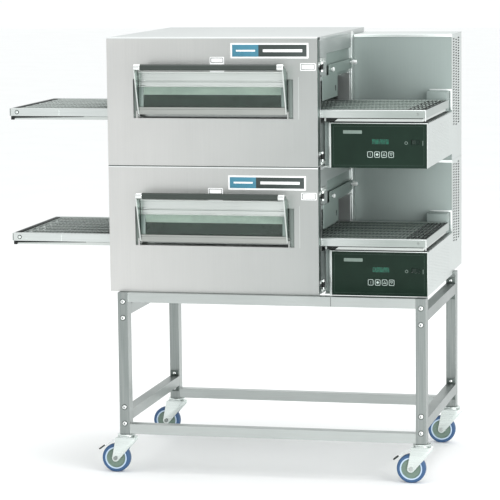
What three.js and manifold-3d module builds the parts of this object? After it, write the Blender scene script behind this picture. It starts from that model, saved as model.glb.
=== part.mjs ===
// A double-stacked conveyor pizza oven on a wheeled stand.
// Millimetres, +Z up, front towards -Y, the oven's right-hand side towards +X.
// While it is being laid out, X = 0 is the left wall of the oven bodies, Y = 0 the face of the
// front doors, and Z = 0 the underside of the lower deck. At the end the whole assembly is moved so
// that its origin is on the floor, in the middle of its footprint.
import * as THREE from "three";
import { mergeVertices } from "three/addons/utils/BufferGeometryUtils.js";
import Module from "manifold-3d";

const wasm = await Module();
wasm.setup();

// ---------------------------------------------------------------- driving dimensions

const GAP = 0.4; // left between pieces that touch
const RUNNING = 0.3; // radial clearance of turning pieces

// Decks
const DECK_HEIGHT = 457.2;
const DECK_COUNT = 2;
const BODY_WIDTH = 768;
const BODY_DEPTH = 910;
const SHEET = 3; // casing and liner sheet
const THIN_SHEET = 2; // covers and trays
const SIDE_WALL = 45; // insulated thickness of the casing's sides
const FLOOR_WALL = 50; // insulated thickness below the chamber
const ROOF_WALL = 76.8; // insulated thickness above the chamber
const LOUVRES = { count: 5, height: 10, side: 230 }; // slots in the casing's back

// Front door and its access window
const DOOR_THICKNESS = 40;
const DOOR_SWING_GAP = 0.6;
const OPENING = { left: 97, right: 88, fromTop: 148.2, height: 139 }; // in the door, from its edges
const WINDOW_SIDE_PLAY = 20; // between the opening's edge and the window frame
const WINDOW_RISE = 14; // of the window frame's lower edge above the opening's
const WINDOW_HEIGHT = 151;
const WINDOW_THICKNESS = 10;
const WINDOW_STANDOFF = 2; // between the window frame and the door's face
const GLASS_BORDER = { side: 26, bottom: 22, top: 53 };
const GLASS_REBATE = 8;
const GLASS_THICKNESS = 3.6;
const FOLD = { fromTop: 31, height: 3, depth: 2 }; // groove across the window frame's top
const SIDE_PLATE = 4;
const PIVOT_RADIUS = 3;
const PIVOT_END_PLAY = 3; // past the ends of the pivot pins
const PIVOT_RISE = 6; // of the pivot's axis above the window's lower edge
const EAR = { thickness: 4.5, play: 1.5, reach: 2 };
const HANDLE_REACH = 60; // from the door's face to the grip's axis
const HANDLE_RISE = 19; // of the grip's axis above the window frame
const GRIP_RADIUS = 11;
const GRIP_CAP_LENGTH = 24;
const GRIP_CAP_PROUD = 0.5; // of the caps around the grip
const GRIP_ROD_RADIUS = 5;

// Lift-off hinges of the front door, on its right edge
const HINGE_OFFSET = 7; // of the hinge axis from the body's side
const KNUCKLE_RADIUS = 5.5;
const KNUCKLE_LENGTH = 17.6;
const HINGE_LEAF = 2.5;
const HINGE_LEAF_REACH = 34;
const HINGE_FROM_BOTTOM = 16;
const HINGE_FROM_TOP = 88.6;
const DRAIN = { radius: 6, height: 30, inset: 115 }; // holes in the door's back

// Conveyor
const CONVEYOR_OVERHANG = 388; // beyond the body's left side
const CONVEYOR_END_INSET = 1; // of its right end from the control box's right side
const CONVEYOR_SETBACK = 20; // behind the front door
const CONVEYOR_WIDTH = 550;
const RAIL_BOTTOM = 170;
const RAIL_HEIGHT = 28;
const RAIL_WIDTH = 20;
const SHAFT_INSET = 28; // of each shaft from its end of the conveyor
const SHAFT_RADIUS = 4;
const SPROCKET_RADIUS = 9;
const SPROCKET_COUNT = 4;
const SPROCKET_WIDTH = 6;
const SPROCKET_INSET = 25; // from the belt's edges
const SPROCKET_PLAY = 0.5; // inside the belt's loop
const BELT_THICKNESS = 3;
const BELT_SIDE_PLAY = 4;
const CROSS_ROD_COUNT = 4;
const CROSS_ROD_INSET = 120; // of the end rods from the shafts
const PAN_DEPTH = 11;
const PAN_DROP = 2; // of the crumb pans' rims below the rails
const PAN_INSET = 10;

// Tunnel that the conveyor runs through, and the baffle over its exit
const TUNNEL = { frontPlay: 5, backPlay: 5, belowRail: 20, fromTop: 157.2 };
const POCKET = { front: 110, behind: 30, height: 92, depth: 8 }; // from the tunnel's edges
const BAFFLE = { hingePlay: 2.5, flapLength: 282, stripFront: 145, behind: 26 };
const BAFFLE_FLAP_RISE = 30; // of the flap's lower edge above the rails
const BAFFLE_STRIP = { aboveTunnel: 14, height: 36 };
const BAFFLE_SLOT = { width: 7, length: 20, inset: 33 };

// Air fingers and blower inside the chamber
const FINGER_HEIGHT = 45;
const FINGER_FRONT_PLAY = 2; // in front of the fingers, from the conveyor's front
const UPPER_FINGER_DROP = 15; // of the upper finger's face below the tunnel's top
const LOWER_FINGER_DROP = 33; // from the rails to the lower finger
const JET_RADIUS = 9;
const JETS = { columns: 4, rows: 3, side: 80, front: 70, back: 90 };
const BLOWER = { radius: 95, gap: 35, depth: 60, behind: 47, blades: 8 };
const BLOWER_SHAFT = { radius: 8, hub: 24, inset: 30, play: 1 };
const BLOWER_RING = { inner: 0.7, bladeLength: 0.28, bladeMiddle: 0.84 }; // shares of its radius

// Machinery compartment on the right
const HOUSING_WIDTH = 375;
const HOUSING_GAP = 80; // between the conveyor and the housing
const HOUSING_OVERHANG = 25; // behind the body
const HOUSING_DROP = 19; // of the housing's top below the top of the body
const HOUSING_LAP = 33; // how far an upper housing reaches down over the deck below
const VENT = { rows: 9, width: 130, height: 8, pitch: 26, fromTop: 40 };
const DRIVE_COVER = { width: 75, fromRight: 10, gap: 6, rise: 4, aboveRail: 28, shaftPlay: 2 };
const COUPLING = { radius: 10, gap: 6, length: 22, stub: 8 };

// Control box in front of it
const CONTROL_GAP = 21; // between the body and the control box
const CONTROL_SETBACK = 32; // of the fascia behind the conveyor's front
const CONTROL_BOTTOM = -10;
const CONTROL_DROP = 22; // of the box's top below the rails
const FASCIA_THICKNESS = 3;
const FASCIA_SIDE_STRIP = 8; // bare edge of the box left of the fascia
const KEY = { width: 21, height: 23, radius: 4, spacing: 4.2, count: 4, proud: 1.2, room: 4 };
const KEYS_FROM_RIGHT = 205; // from the box's right side to the first key's middle
const KEY_MIDDLE = 38.5;
const DISPLAY = { fromRight: 168, width: 60, height: 18, middle: 84, depth: 1 };
const SWITCH = { fromRight: 42, width: 28, height: 15, middle: 83, tilt: 8, play: 1.4, pivot: 4 };
const ROCKER = { proud: 1, dip: 1.6, taper: 0.75 }; // its ends, the V across it, its back's share

// Stand
const STAND_INSET = 33; // of the left legs from the body's left side
const STAND_OVERHANG = 13; // of the right legs beyond the housing
const STAND_PROUD = 26; // of the front legs before the front door
const STAND_BEHIND = 49; // of the rear legs' backs behind the housing's front
const STAND_HEIGHT = 520;
const LEG_WIDTH = 38;
const LEG_DEPTH = 44;
const TUBE_WALL = 2.5;
const CROSS_RAIL_HEIGHT = 36;
const CROSS_RAIL_DEPTH = 38;
const CROSS_RAIL_LIFT = 2; // of the lower cross rails above the legs' feet
const SIDE_RAIL = 38; // square tube
const SIDE_RAIL_DROP = 64; // of the upper side rails' middle below the deck
const LOWER_RAIL_RISE = 70; // of the lower side rails' middle above the legs' feet
const BOLT_SPREAD = 29.5; // from a side rail's middle to the bolt above and below it
const END_PLATE = { thickness: 5, inset: 2, margin: 12 };

// Casters
const WHEEL_RADIUS = 52;
const WHEEL_WIDTH = 32;
const TREAD = 9;
const HUB_RADIUS = 14;
const CORE = { recess: 5, flare: 4, rimRecess: 1 }; // dish of the wheel's core
const SHOULDER = { radius: 5, recess: 2, crown: 8 }; // rounding of the tyre's edges
const AXLE_RADIUS = 5;
const AXLE_END = 4;
const WHEEL_CLEARANCE = 38; // of the wheel's rim below the leg
const CASTER_TRAIL = 38;
const RACEWAY_RADIUS = 32;
const RACEWAY_HEIGHT = 11;
const FORK_SHEET = 3;
const FORK_PLAY = 2; // between wheel and fork on each side
const FORK_EYE = 13;
const FORK_OVERHANG = 4; // of the side plates beyond the raceway
const FORK_LIP = 14; // height of the side plates' rear edge
const STEM = { radius: 10, length: 55 };

// ---------------------------------------------------------------- materials

function finish(colour, roughness, metalness) {
  return new THREE.MeshStandardMaterial({ color: colour, roughness, metalness });
}

const casingSteel = finish(0xd3d4d2, 0.35, 0.9);
const doorSteel = finish(0xd6d6d4, 0.32, 0.9);
const housingSteel = finish(0x9aa4a0, 0.4, 0.9);
const standSteel = finish(0xa6a9a8, 0.38, 0.9);
const railSteel = finish(0xbfc5c2, 0.35, 0.9);
const wireSteel = finish(0x8d9492, 0.4, 0.9);
const darkSteel = finish(0x66726e, 0.45, 0.8);
const zinc = finish(0xcfdcd8, 0.35, 0.9);
const gripBlack = finish(0x3f4442, 0.45, 0.0);
const fasciaBlack = finish(0x26322e, 0.3, 0.0);
const keyGrey = finish(0x2c3834, 0.4, 0.0);
const tintedGlass = finish(0x5a6f66, 0.05, 0.0);
const blueRubber = finish(0x3f6182, 0.6, 0.0);

// ---------------------------------------------------------------- solids

// A closed three.js geometry as a solid that can be joined and cut.
function solid(geometry) {
  const bare = new THREE.BufferGeometry();
  const flat = geometry.index ? geometry.toNonIndexed() : geometry;
  bare.setAttribute("position", flat.getAttribute("position"));
  const merged = mergeVertices(bare, 1e-4);
  return new wasm.Manifold(
    new wasm.Mesh({
      numProp: 3,
      vertProperties: merged.attributes.position.array,
      triVerts: new Uint32Array(merged.index.array),
    }),
  );
}

function geometryOf(body) {
  const { vertProperties, triVerts } = body.getMesh();
  const geometry = new THREE.BufferGeometry();
  geometry.setAttribute("position", new THREE.BufferAttribute(vertProperties, 3));
  geometry.setIndex(new THREE.BufferAttribute(triVerts, 1));
  geometry.computeVertexNormals();
  return geometry;
}

// A block between two limits on each axis.
function block([x0, x1], [y0, y1], [z0, z1]) {
  const box = new THREE.BoxGeometry(x1 - x0, y1 - y0, z1 - z0);
  box.translate((x0 + x1) / 2, (y0 + y1) / 2, (z0 + z1) / 2);
  return solid(box);
}

// A round bar of the given radius along an axis, between two limits; `at` is its place across it.
function bar(axis, radius, [from, to], at, sides = 16) {
  const cylinder = new THREE.CylinderGeometry(radius, radius, to - from, sides);
  const middle = (from + to) / 2;
  if (axis === "x") {
    cylinder.rotateZ(Math.PI / 2);
    cylinder.translate(middle, at[0], at[1]);
  } else if (axis === "y") {
    cylinder.translate(at[0], middle, at[1]);
  } else {
    cylinder.rotateX(Math.PI / 2);
    cylinder.translate(at[0], at[1], middle);
  }
  return solid(cylinder);
}

// A plate cut to an outline in the YZ plane, with its faces across X.
function plateAcrossX(outline, [x0, x1]) {
  const shape = new THREE.Shape(outline.map(([y, z]) => new THREE.Vector2(y, z)));
  const plate = new THREE.ExtrudeGeometry(shape, { depth: x1 - x0, bevelEnabled: false });
  // The shape's x, y and depth become Y, Z and X.
  plate.applyMatrix4(new THREE.Matrix4().set(0, 0, 1, x0, 1, 0, 0, 0, 0, 1, 0, 0, 0, 0, 0, 1));
  return solid(plate);
}

// A shape drawn in the XZ plane, with its thickness along Y.
function plateAcrossY(shape, [y0, y1], curveSegments = 6) {
  const plate = new THREE.ExtrudeGeometry(shape, {
    depth: y1 - y0,
    bevelEnabled: false,
    curveSegments,
  });
  // The shape's x, y and depth become X, Z and -Y.
  plate.rotateX(Math.PI / 2);
  plate.translate(0, y1, 0);
  return solid(plate);
}

function joined(bodies) {
  return bodies.reduce((whole, body) => whole.add(body));
}

function cut(body, tools) {
  return tools.reduce((rest, tool) => rest.subtract(tool), body);
}

function inset([low, high], by) {
  return [low + by, high - by];
}

// A row of evenly spaced values from first to last.
function spread(first, last, count) {
  return Array.from({ length: count }, (_, i) => first + ((last - first) * i) / (count - 1));
}

function roundedRectangle(width, height, radius) {
  const [x, y] = [width / 2, height / 2];
  const shape = new THREE.Shape();
  shape.moveTo(-x + radius, -y);
  shape.lineTo(x - radius, -y);
  shape.absarc(x - radius, -y + radius, radius, -Math.PI / 2, 0);
  shape.absarc(x - radius, y - radius, radius, 0, Math.PI / 2);
  shape.absarc(-x + radius, y - radius, radius, Math.PI / 2, Math.PI);
  shape.absarc(-x + radius, -y + radius, radius, Math.PI, 1.5 * Math.PI);
  return shape;
}

function addPart(group, name, body, material, place = [0, 0, 0]) {
  const mesh = new THREE.Mesh(geometryOf(body), material);
  mesh.name = name;
  mesh.position.set(...place);
  group.add(mesh);
  return mesh;
}

// ---------------------------------------------------------------- derived places

const CASING_FRONT = DOOR_THICKNESS + DOOR_SWING_GAP;
const HINGE_X = BODY_WIDTH + HINGE_OFFSET;
const HINGE_Y = DOOR_THICKNESS + HINGE_LEAF;
const HINGE_HEIGHTS = [
  HINGE_FROM_BOTTOM,
  DECK_HEIGHT - HINGE_FROM_TOP - 2 * KNUCKLE_LENGTH - GAP,
];
const OPENING_X = [OPENING.left, BODY_WIDTH - OPENING.right];
const OPENING_TOP = DECK_HEIGHT - OPENING.fromTop;
const OPENING_Z = [OPENING_TOP - OPENING.height, OPENING_TOP];
const WINDOW_X = inset(OPENING_X, WINDOW_SIDE_PLAY);
const WINDOW_Z = [OPENING_Z[0] + WINDOW_RISE, OPENING_Z[0] + WINDOW_RISE + WINDOW_HEIGHT];
const WINDOW_Y = [-WINDOW_STANDOFF - WINDOW_THICKNESS, -WINDOW_STANDOFF];
const WINDOW_SIDES = [
  [WINDOW_X[0], WINDOW_X[0] + SIDE_PLATE],
  [WINDOW_X[1] - SIDE_PLATE, WINDOW_X[1]],
];
const PIVOT_PLACE = [(WINDOW_Y[0] + WINDOW_Y[1]) / 2, WINDOW_Z[0] + PIVOT_RISE];
const GRIP_PLACE = [-HANDLE_REACH, WINDOW_Z[1] + HANDLE_RISE];

const CONTROL_X = [BODY_WIDTH + CONTROL_GAP, BODY_WIDTH + HOUSING_WIDTH];
const CONVEYOR_X = [-CONVEYOR_OVERHANG, CONTROL_X[1] - CONVEYOR_END_INSET];
const CONVEYOR_Y = [
  DOOR_THICKNESS + CONVEYOR_SETBACK,
  DOOR_THICKNESS + CONVEYOR_SETBACK + CONVEYOR_WIDTH,
];
const RAIL_Z = [RAIL_BOTTOM, RAIL_BOTTOM + RAIL_HEIGHT];
const SHAFT_Z = RAIL_BOTTOM + RAIL_HEIGHT / 2;
const BELT_Y = inset(CONVEYOR_Y, RAIL_WIDTH + BELT_SIDE_PLAY);
const BELT_INNER_RADIUS = SPROCKET_RADIUS + SPROCKET_PLAY;
const BELT_OUTER_RADIUS = BELT_INNER_RADIUS + BELT_THICKNESS;
const [IDLER_X, DRIVE_X] = inset(CONVEYOR_X, SHAFT_INSET);

const TUNNEL_Y = [CONVEYOR_Y[0] - TUNNEL.frontPlay, CONVEYOR_Y[1] + TUNNEL.backPlay];
const TUNNEL_Z = [RAIL_Z[0] - TUNNEL.belowRail, DECK_HEIGHT - TUNNEL.fromTop];
const CHAMBER_X = inset([0, BODY_WIDTH], SIDE_WALL + SHEET);
const CHAMBER_Z = [FLOOR_WALL + SHEET, DECK_HEIGHT - GAP - ROOF_WALL - SHEET];
const FINGER_Y = [CONVEYOR_Y[0] + FINGER_FRONT_PLAY, TUNNEL_Y[1]];
const BLOWER_Y = [FINGER_Y[1] + BLOWER.gap, FINGER_Y[1] + BLOWER.gap + BLOWER.depth];
const BLOWER_PLACE = [BODY_WIDTH / 2, (CHAMBER_Z[0] + CHAMBER_Z[1]) / 2];
const CHAMBER_BACK = BLOWER_Y[1] + BLOWER.behind;

const HOUSING_Y = [CONVEYOR_Y[1] + HOUSING_GAP, BODY_DEPTH + HOUSING_OVERHANG];
const FASCIA_Y = [
  CONVEYOR_Y[0] + CONTROL_SETBACK,
  CONVEYOR_Y[0] + CONTROL_SETBACK + FASCIA_THICKNESS,
];
const CONTROL_Z = [CONTROL_BOTTOM, RAIL_Z[0] - CONTROL_DROP];
const COVER_FRONT = CONVEYOR_Y[1] + DRIVE_COVER.gap;

const STAND_X = [STAND_INSET, BODY_WIDTH + HOUSING_WIDTH + STAND_OVERHANG];
const STAND_Y = [-STAND_PROUD, HOUSING_Y[0] + STAND_BEHIND];
const LEG_X = inset(STAND_X, LEG_WIDTH / 2);
const LEG_Y = inset(STAND_Y, LEG_DEPTH / 2);
const AXLE_DROP = WHEEL_CLEARANCE + WHEEL_RADIUS;

// ---------------------------------------------------------------- deck: casing and door

// Lift-off hinge half: a knuckle and its leaf against the side of the body.
function hingeHalf(bottom, leafY) {
  const height = [bottom, bottom + KNUCKLE_LENGTH];
  const knuckle = bar("z", KNUCKLE_RADIUS, height, [HINGE_X, HINGE_Y]);
  const leaf = block([BODY_WIDTH - GAP, BODY_WIDTH + HINGE_LEAF], leafY, height);
  return knuckle.add(leaf);
}

// Double-walled casing: an outer skin, the chamber's liner, and collars around the tunnel.
function casing() {
  const x = [0, BODY_WIDTH];
  const y = [CASING_FRONT, BODY_DEPTH];
  const z = [0, DECK_HEIGHT - GAP];
  const skin = block(x, y, z).subtract(block(inset(x, SHEET), inset(y, SHEET), inset(z, SHEET)));
  const liner = block(
    inset(CHAMBER_X, -SHEET),
    [CASING_FRONT, CHAMBER_BACK + SHEET],
    inset(CHAMBER_Z, -SHEET),
  );
  const collar = block(x, inset(TUNNEL_Y, -SHEET), inset(TUNNEL_Z, -SHEET));
  const pocketY = [TUNNEL_Y[0] + POCKET.front, TUNNEL_Y[1] + POCKET.behind];
  const pocketZ = [TUNNEL_Z[1] - SHEET, TUNNEL_Z[1] + POCKET.height];
  const pocketPan = block(
    [BODY_WIDTH - POCKET.depth - SHEET, BODY_WIDTH],
    inset(pocketY, -SHEET),
    inset(pocketZ, -SHEET),
  );
  const pocket = block([BODY_WIDTH - POCKET.depth, BODY_WIDTH + 1], pocketY, pocketZ);
  const chamber = block(CHAMBER_X, [CASING_FRONT - 1, CHAMBER_BACK], CHAMBER_Z);
  const tunnel = block([-1, BODY_WIDTH + 1], TUNNEL_Y, TUNNEL_Z);
  const shaftHole = bar(
    "y",
    BLOWER_SHAFT.radius + BLOWER_SHAFT.play,
    [CHAMBER_BACK - 1, CHAMBER_BACK + SHEET + 1],
    BLOWER_PLACE,
  );
  const louvres = spread(...CHAMBER_Z, LOUVRES.count).map((height) =>
    block(
      inset(x, LOUVRES.side),
      [BODY_DEPTH - SHEET - 1, BODY_DEPTH + 1],
      [height, height + LOUVRES.height],
    ),
  );
  const body = cut(joined([skin, liner, collar, pocketPan]), [
    chamber,
    tunnel,
    pocket,
    shaftHole,
    ...louvres,
  ]);
  const hinges = HINGE_HEIGHTS.map((bottom) =>
    hingeHalf(bottom, [HINGE_Y, HINGE_Y + HINGE_LEAF_REACH]),
  );
  return joined([body, ...hinges]);
}

// Hollow front door with the window opening through it and the window's pivot ears.
function frontDoor() {
  const x = [0, BODY_WIDTH - GAP];
  const y = [0, DOOR_THICKNESS];
  const z = [0, DECK_HEIGHT - 2 * GAP];
  const pan = block(x, y, z).subtract(
    block(inset(x, THIN_SHEET), inset(y, THIN_SHEET), inset(z, THIN_SHEET)),
  );
  const collar = block(inset(OPENING_X, -THIN_SHEET), y, inset(OPENING_Z, -THIN_SHEET));
  const drainHoles = inset(x, DRAIN.inset).map((drainX) =>
    bar("y", DRAIN.radius, [y[1] - THIN_SHEET - 1, y[1] + 1], [drainX, DRAIN.height], 12),
  );
  const opening = block(OPENING_X, inset(y, -1), OPENING_Z);
  const body = cut(pan.add(collar), [opening, ...drainHoles]);
  const ears = [-1, 1].flatMap((side) => {
    const [inner, outer] = side < 0 ? WINDOW_SIDES[0].toReversed() : WINDOW_SIDES[1];
    const near = outer + side * EAR.play;
    const far = near + side * EAR.thickness;
    const ear = block(
      [Math.min(near, far), Math.max(near, far)],
      [WINDOW_Y[0] - EAR.reach, DOOR_THICKNESS / 2],
      [OPENING_Z[0] - THIN_SHEET / 2, PIVOT_PLACE[1] + 2 * PIVOT_RADIUS],
    );
    const pin = bar("x", PIVOT_RADIUS, [Math.min(inner, far), Math.max(inner, far)], PIVOT_PLACE, 12);
    return [ear, pin];
  });
  const hinges = HINGE_HEIGHTS.map((bottom) =>
    hingeHalf(bottom + KNUCKLE_LENGTH + GAP, [DOOR_THICKNESS - HINGE_LEAF_REACH, DOOR_THICKNESS]),
  );
  return joined([body, ...ears, ...hinges]);
}

// Window frame with its two triangular side plates, the grip's caps and the rod through the grip.
function windowFrame() {
  const glassX = inset(WINDOW_X, GLASS_BORDER.side);
  const glassZ = [WINDOW_Z[0] + GLASS_BORDER.bottom, WINDOW_Z[1] - GLASS_BORDER.top];
  const rebate = block(
    inset(glassX, -GLASS_REBATE),
    [WINDOW_Y[1] - GLASS_THICKNESS - GAP, WINDOW_Y[1] + 1],
    inset(glassZ, -GLASS_REBATE),
  );
  const foldTop = WINDOW_Z[1] - FOLD.fromTop;
  const fold = block(
    inset(WINDOW_X, SIDE_PLATE),
    [WINDOW_Y[0] - 1, WINDOW_Y[0] + FOLD.depth],
    [foldTop - FOLD.height, foldTop],
  );
  const sight = block(glassX, inset(WINDOW_Y, -1), glassZ);
  const sheet = cut(block(WINDOW_X, WINDOW_Y, WINDOW_Z), [sight, rebate, fold]);
  const [gripY, gripZ] = GRIP_PLACE;
  const corner = GRIP_RADIUS * Math.SQRT1_2;
  const outline = [
    [WINDOW_Y[0], WINDOW_Z[0]],
    [WINDOW_Y[1], WINDOW_Z[0]],
    [WINDOW_Y[1], WINDOW_Z[1]],
    [gripY + corner, gripZ + corner],
    [gripY - corner, gripZ - corner],
  ];
  const plates = WINDOW_SIDES.map((x) => plateAcrossX(outline, x));
  const caps = [
    [WINDOW_X[0], WINDOW_X[0] + GRIP_CAP_LENGTH],
    [WINDOW_X[1] - GRIP_CAP_LENGTH, WINDOW_X[1]],
  ].map((x) => bar("x", GRIP_RADIUS + GRIP_CAP_PROUD, x, GRIP_PLACE));
  const rod = bar("x", GRIP_ROD_RADIUS, inset(WINDOW_X, GRIP_CAP_LENGTH / 2), GRIP_PLACE, 12);
  const pivotHoles = WINDOW_SIDES.map((x) =>
    bar("x", PIVOT_RADIUS + RUNNING, inset(x, -PIVOT_END_PLAY), PIVOT_PLACE, 12),
  );
  return cut(joined([sheet, ...plates, ...caps, rod]), pivotHoles);
}

function windowGlass() {
  const overlap = GLASS_REBATE - GAP;
  return block(
    inset(WINDOW_X, GLASS_BORDER.side - overlap),
    [WINDOW_Y[1] - GLASS_THICKNESS, WINDOW_Y[1] - GAP],
    [WINDOW_Z[0] + GLASS_BORDER.bottom - overlap, WINDOW_Z[1] - GLASS_BORDER.top + overlap],
  );
}

function windowGrip() {
  const reach = inset(WINDOW_X, GRIP_CAP_LENGTH + GAP);
  const bore = bar("x", GRIP_ROD_RADIUS + RUNNING, inset(reach, -1), GRIP_PLACE, 12);
  return bar("x", GRIP_RADIUS, reach, GRIP_PLACE).subtract(bore);
}

// Sheet over the tunnel's exit: a narrow strip with two slots, and a deeper flap at the front.
function exitBaffle() {
  const x = [BODY_WIDTH + GAP, BODY_WIDTH + GAP + THIN_SHEET];
  const front = HINGE_Y + HINGE_LEAF_REACH + BAFFLE.hingePlay;
  const step = front + BAFFLE.flapLength;
  const back = TUNNEL_Y[1] + BAFFLE.behind;
  const stripFront = TUNNEL_Y[0] + BAFFLE.stripFront;
  const bottom = RAIL_Z[1] + BAFFLE_FLAP_RISE;
  const stripBottom = TUNNEL_Z[1] + BAFFLE_STRIP.aboveTunnel;
  const top = stripBottom + BAFFLE_STRIP.height;
  const outline = [
    [front, bottom],
    [step, bottom],
    [step, stripBottom],
    [back, stripBottom],
    [back, top],
    [stripFront, top],
    [stripFront, stripBottom],
    [front, stripBottom],
  ];
  const middle = (stripBottom + top) / 2;
  const slots = inset([stripFront, back], BAFFLE_SLOT.inset).map((y) =>
    block(
      inset(x, -1),
      [y - BAFFLE_SLOT.width / 2, y + BAFFLE_SLOT.width / 2],
      [middle - BAFFLE_SLOT.length / 2, middle + BAFFLE_SLOT.length / 2],
    ),
  );
  return cut(plateAcrossX(outline, x), slots);
}

// ---------------------------------------------------------------- deck: conveyor

// Two channel rails tied by end plates and by rods that run inside the belt's loop.
function conveyorFrame() {
  const [front, back] = CONVEYOR_Y;
  const hollow = inset(RAIL_Z, THIN_SHEET);
  const through = inset(CONVEYOR_X, -1);
  const rails = [
    block(CONVEYOR_X, [front, front + RAIL_WIDTH], RAIL_Z).subtract(
      block(through, [front + THIN_SHEET, front + RAIL_WIDTH + 1], hollow),
    ),
    block(CONVEYOR_X, [back - RAIL_WIDTH, back], RAIL_Z).subtract(
      block(through, [back - RAIL_WIDTH - 1, back - THIN_SHEET], hollow),
    ),
  ];
  const ends = [
    [CONVEYOR_X[0], CONVEYOR_X[0] + THIN_SHEET],
    [CONVEYOR_X[1] - THIN_SHEET, CONVEYOR_X[1]],
  ].map((x) => block(x, CONVEYOR_Y, RAIL_Z));
  const [firstRod, lastRod] = inset([IDLER_X, DRIVE_X], CROSS_ROD_INSET);
  const rods = spread(firstRod, lastRod, CROSS_ROD_COUNT).map((x) =>
    bar("y", SHAFT_RADIUS, inset(CONVEYOR_Y, 1), [x, SHAFT_Z], 8),
  );
  const shaftHoles = [IDLER_X, DRIVE_X].map((x) =>
    bar("y", SHAFT_RADIUS + RUNNING, inset(CONVEYOR_Y, -1), [x, SHAFT_Z], 12),
  );
  return cut(joined([...rails, ...ends, ...rods]), shaftHoles);
}

// The belt's loop around both shafts.
function conveyorBelt() {
  const loop = (radius) => {
    const shape = new THREE.Shape();
    shape.moveTo(IDLER_X, SHAFT_Z - radius);
    shape.lineTo(DRIVE_X, SHAFT_Z - radius);
    shape.absarc(DRIVE_X, SHAFT_Z, radius, -Math.PI / 2, Math.PI / 2);
    shape.lineTo(IDLER_X, SHAFT_Z + radius);
    shape.absarc(IDLER_X, SHAFT_Z, radius, Math.PI / 2, 1.5 * Math.PI);
    return shape;
  };
  const outside = plateAcrossY(loop(BELT_OUTER_RADIUS), BELT_Y, 8);
  const inside = plateAcrossY(loop(BELT_INNER_RADIUS), inset(BELT_Y, -1), 8);
  return outside.subtract(inside);
}

// A shaft along Y with its sprockets, between two limits.
function beltShaft(place, [front, back]) {
  const sprockets = spread(...inset(BELT_Y, SPROCKET_INSET), SPROCKET_COUNT).map((y) =>
    bar("y", SPROCKET_RADIUS, [y, y + SPROCKET_WIDTH], [place, SHAFT_Z], 12),
  );
  return joined([bar("y", SHAFT_RADIUS, [front, back], [place, SHAFT_Z], 12), ...sprockets]);
}

function driveShaft() {
  const collarY = COVER_FRONT + THIN_SHEET + COUPLING.gap;
  const collarEnd = collarY + COUPLING.length;
  const collar = bar("y", COUPLING.radius, [collarY, collarEnd], [DRIVE_X, SHAFT_Z], 12);
  return beltShaft(DRIVE_X, [CONVEYOR_Y[0] - 1, collarEnd + COUPLING.stub]).add(collar);
}

function idlerShaft() {
  return beltShaft(IDLER_X, inset(CONVEYOR_Y, -1));
}

// Shallow tray under one open end of the conveyor.
function crumbPan(x) {
  const y = inset(CONVEYOR_Y, PAN_INSET);
  const top = RAIL_Z[0] - PAN_DROP;
  const z = [top - PAN_DEPTH, top];
  const space = block(inset(x, THIN_SHEET), inset(y, THIN_SHEET), [z[0] + THIN_SHEET, top + 1]);
  return block(x, y, z).subtract(space);
}

// ---------------------------------------------------------------- deck: air system

// Flat duct, open at the back, with a field of jet holes on the face towards the belt.
function airFinger(bottom, jetsUp) {
  const x = inset(CHAMBER_X, GAP);
  const y = FINGER_Y;
  const z = [bottom, bottom + FINGER_HEIGHT];
  const face = jetsUp ? [z[1] - THIN_SHEET - 1, z[1] + 1] : [z[0] - 1, z[0] + THIN_SHEET + 1];
  const columns = spread(x[0] + JETS.side, x[1] - JETS.side, JETS.columns);
  const rows = spread(y[0] + JETS.front, y[1] - JETS.back, JETS.rows);
  const jets = columns.flatMap((jetX) =>
    rows.map((jetY) => bar("z", JET_RADIUS, face, [jetX, jetY], 6)),
  );
  const duct = block(x, y, z);
  const space = block(inset(x, THIN_SHEET), [y[0] + THIN_SHEET, y[1] + 1], inset(z, THIN_SHEET));
  return cut(duct, [space, ...jets]);
}

// Centrifugal wheel: a back disc, a front ring and straight blades between them, on its shaft.
function blowerWheel() {
  const { radius, depth, blades } = BLOWER;
  const [front, back] = BLOWER_Y;
  const [x, z] = BLOWER_PLACE;
  const middle = (front + back) / 2;
  const disc = bar("y", radius, [back - SHEET, back], BLOWER_PLACE);
  const ring = bar("y", radius, [front, front + SHEET], BLOWER_PLACE).subtract(
    bar("y", BLOWER_RING.inner * radius, [front - 1, front + SHEET + 1], BLOWER_PLACE),
  );
  const blade = new THREE.BoxGeometry(BLOWER_RING.bladeLength * radius, depth - 1, SHEET);
  const vanes = Array.from({ length: blades }, (_, i) => {
    const turned = blade.clone().translate(BLOWER_RING.bladeMiddle * radius, 0, 0);
    turned.rotateY((2 * Math.PI * i) / blades);
    turned.translate(x, middle, z);
    return solid(turned);
  });
  const hub = bar("y", BLOWER_SHAFT.hub, [middle, back], BLOWER_PLACE);
  const axle = bar("y", BLOWER_SHAFT.radius, [middle, BODY_DEPTH - BLOWER_SHAFT.inset], BLOWER_PLACE);
  return joined([disc, ring, hub, axle, ...vanes]);
}

// ---------------------------------------------------------------- deck: controls and machinery

// Rows of slots through a wall across X, which let cooling air into a housing.
function ventSlots(x, y, top) {
  const middle = (y[0] + y[1]) / 2;
  const slotY = [middle - VENT.width / 2, middle + VENT.width / 2];
  return Array.from({ length: VENT.rows }, (_, row) => {
    const slotTop = top - VENT.fromTop - row * VENT.pitch;
    return block(x, slotY, [slotTop - VENT.height, slotTop]);
  });
}

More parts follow.
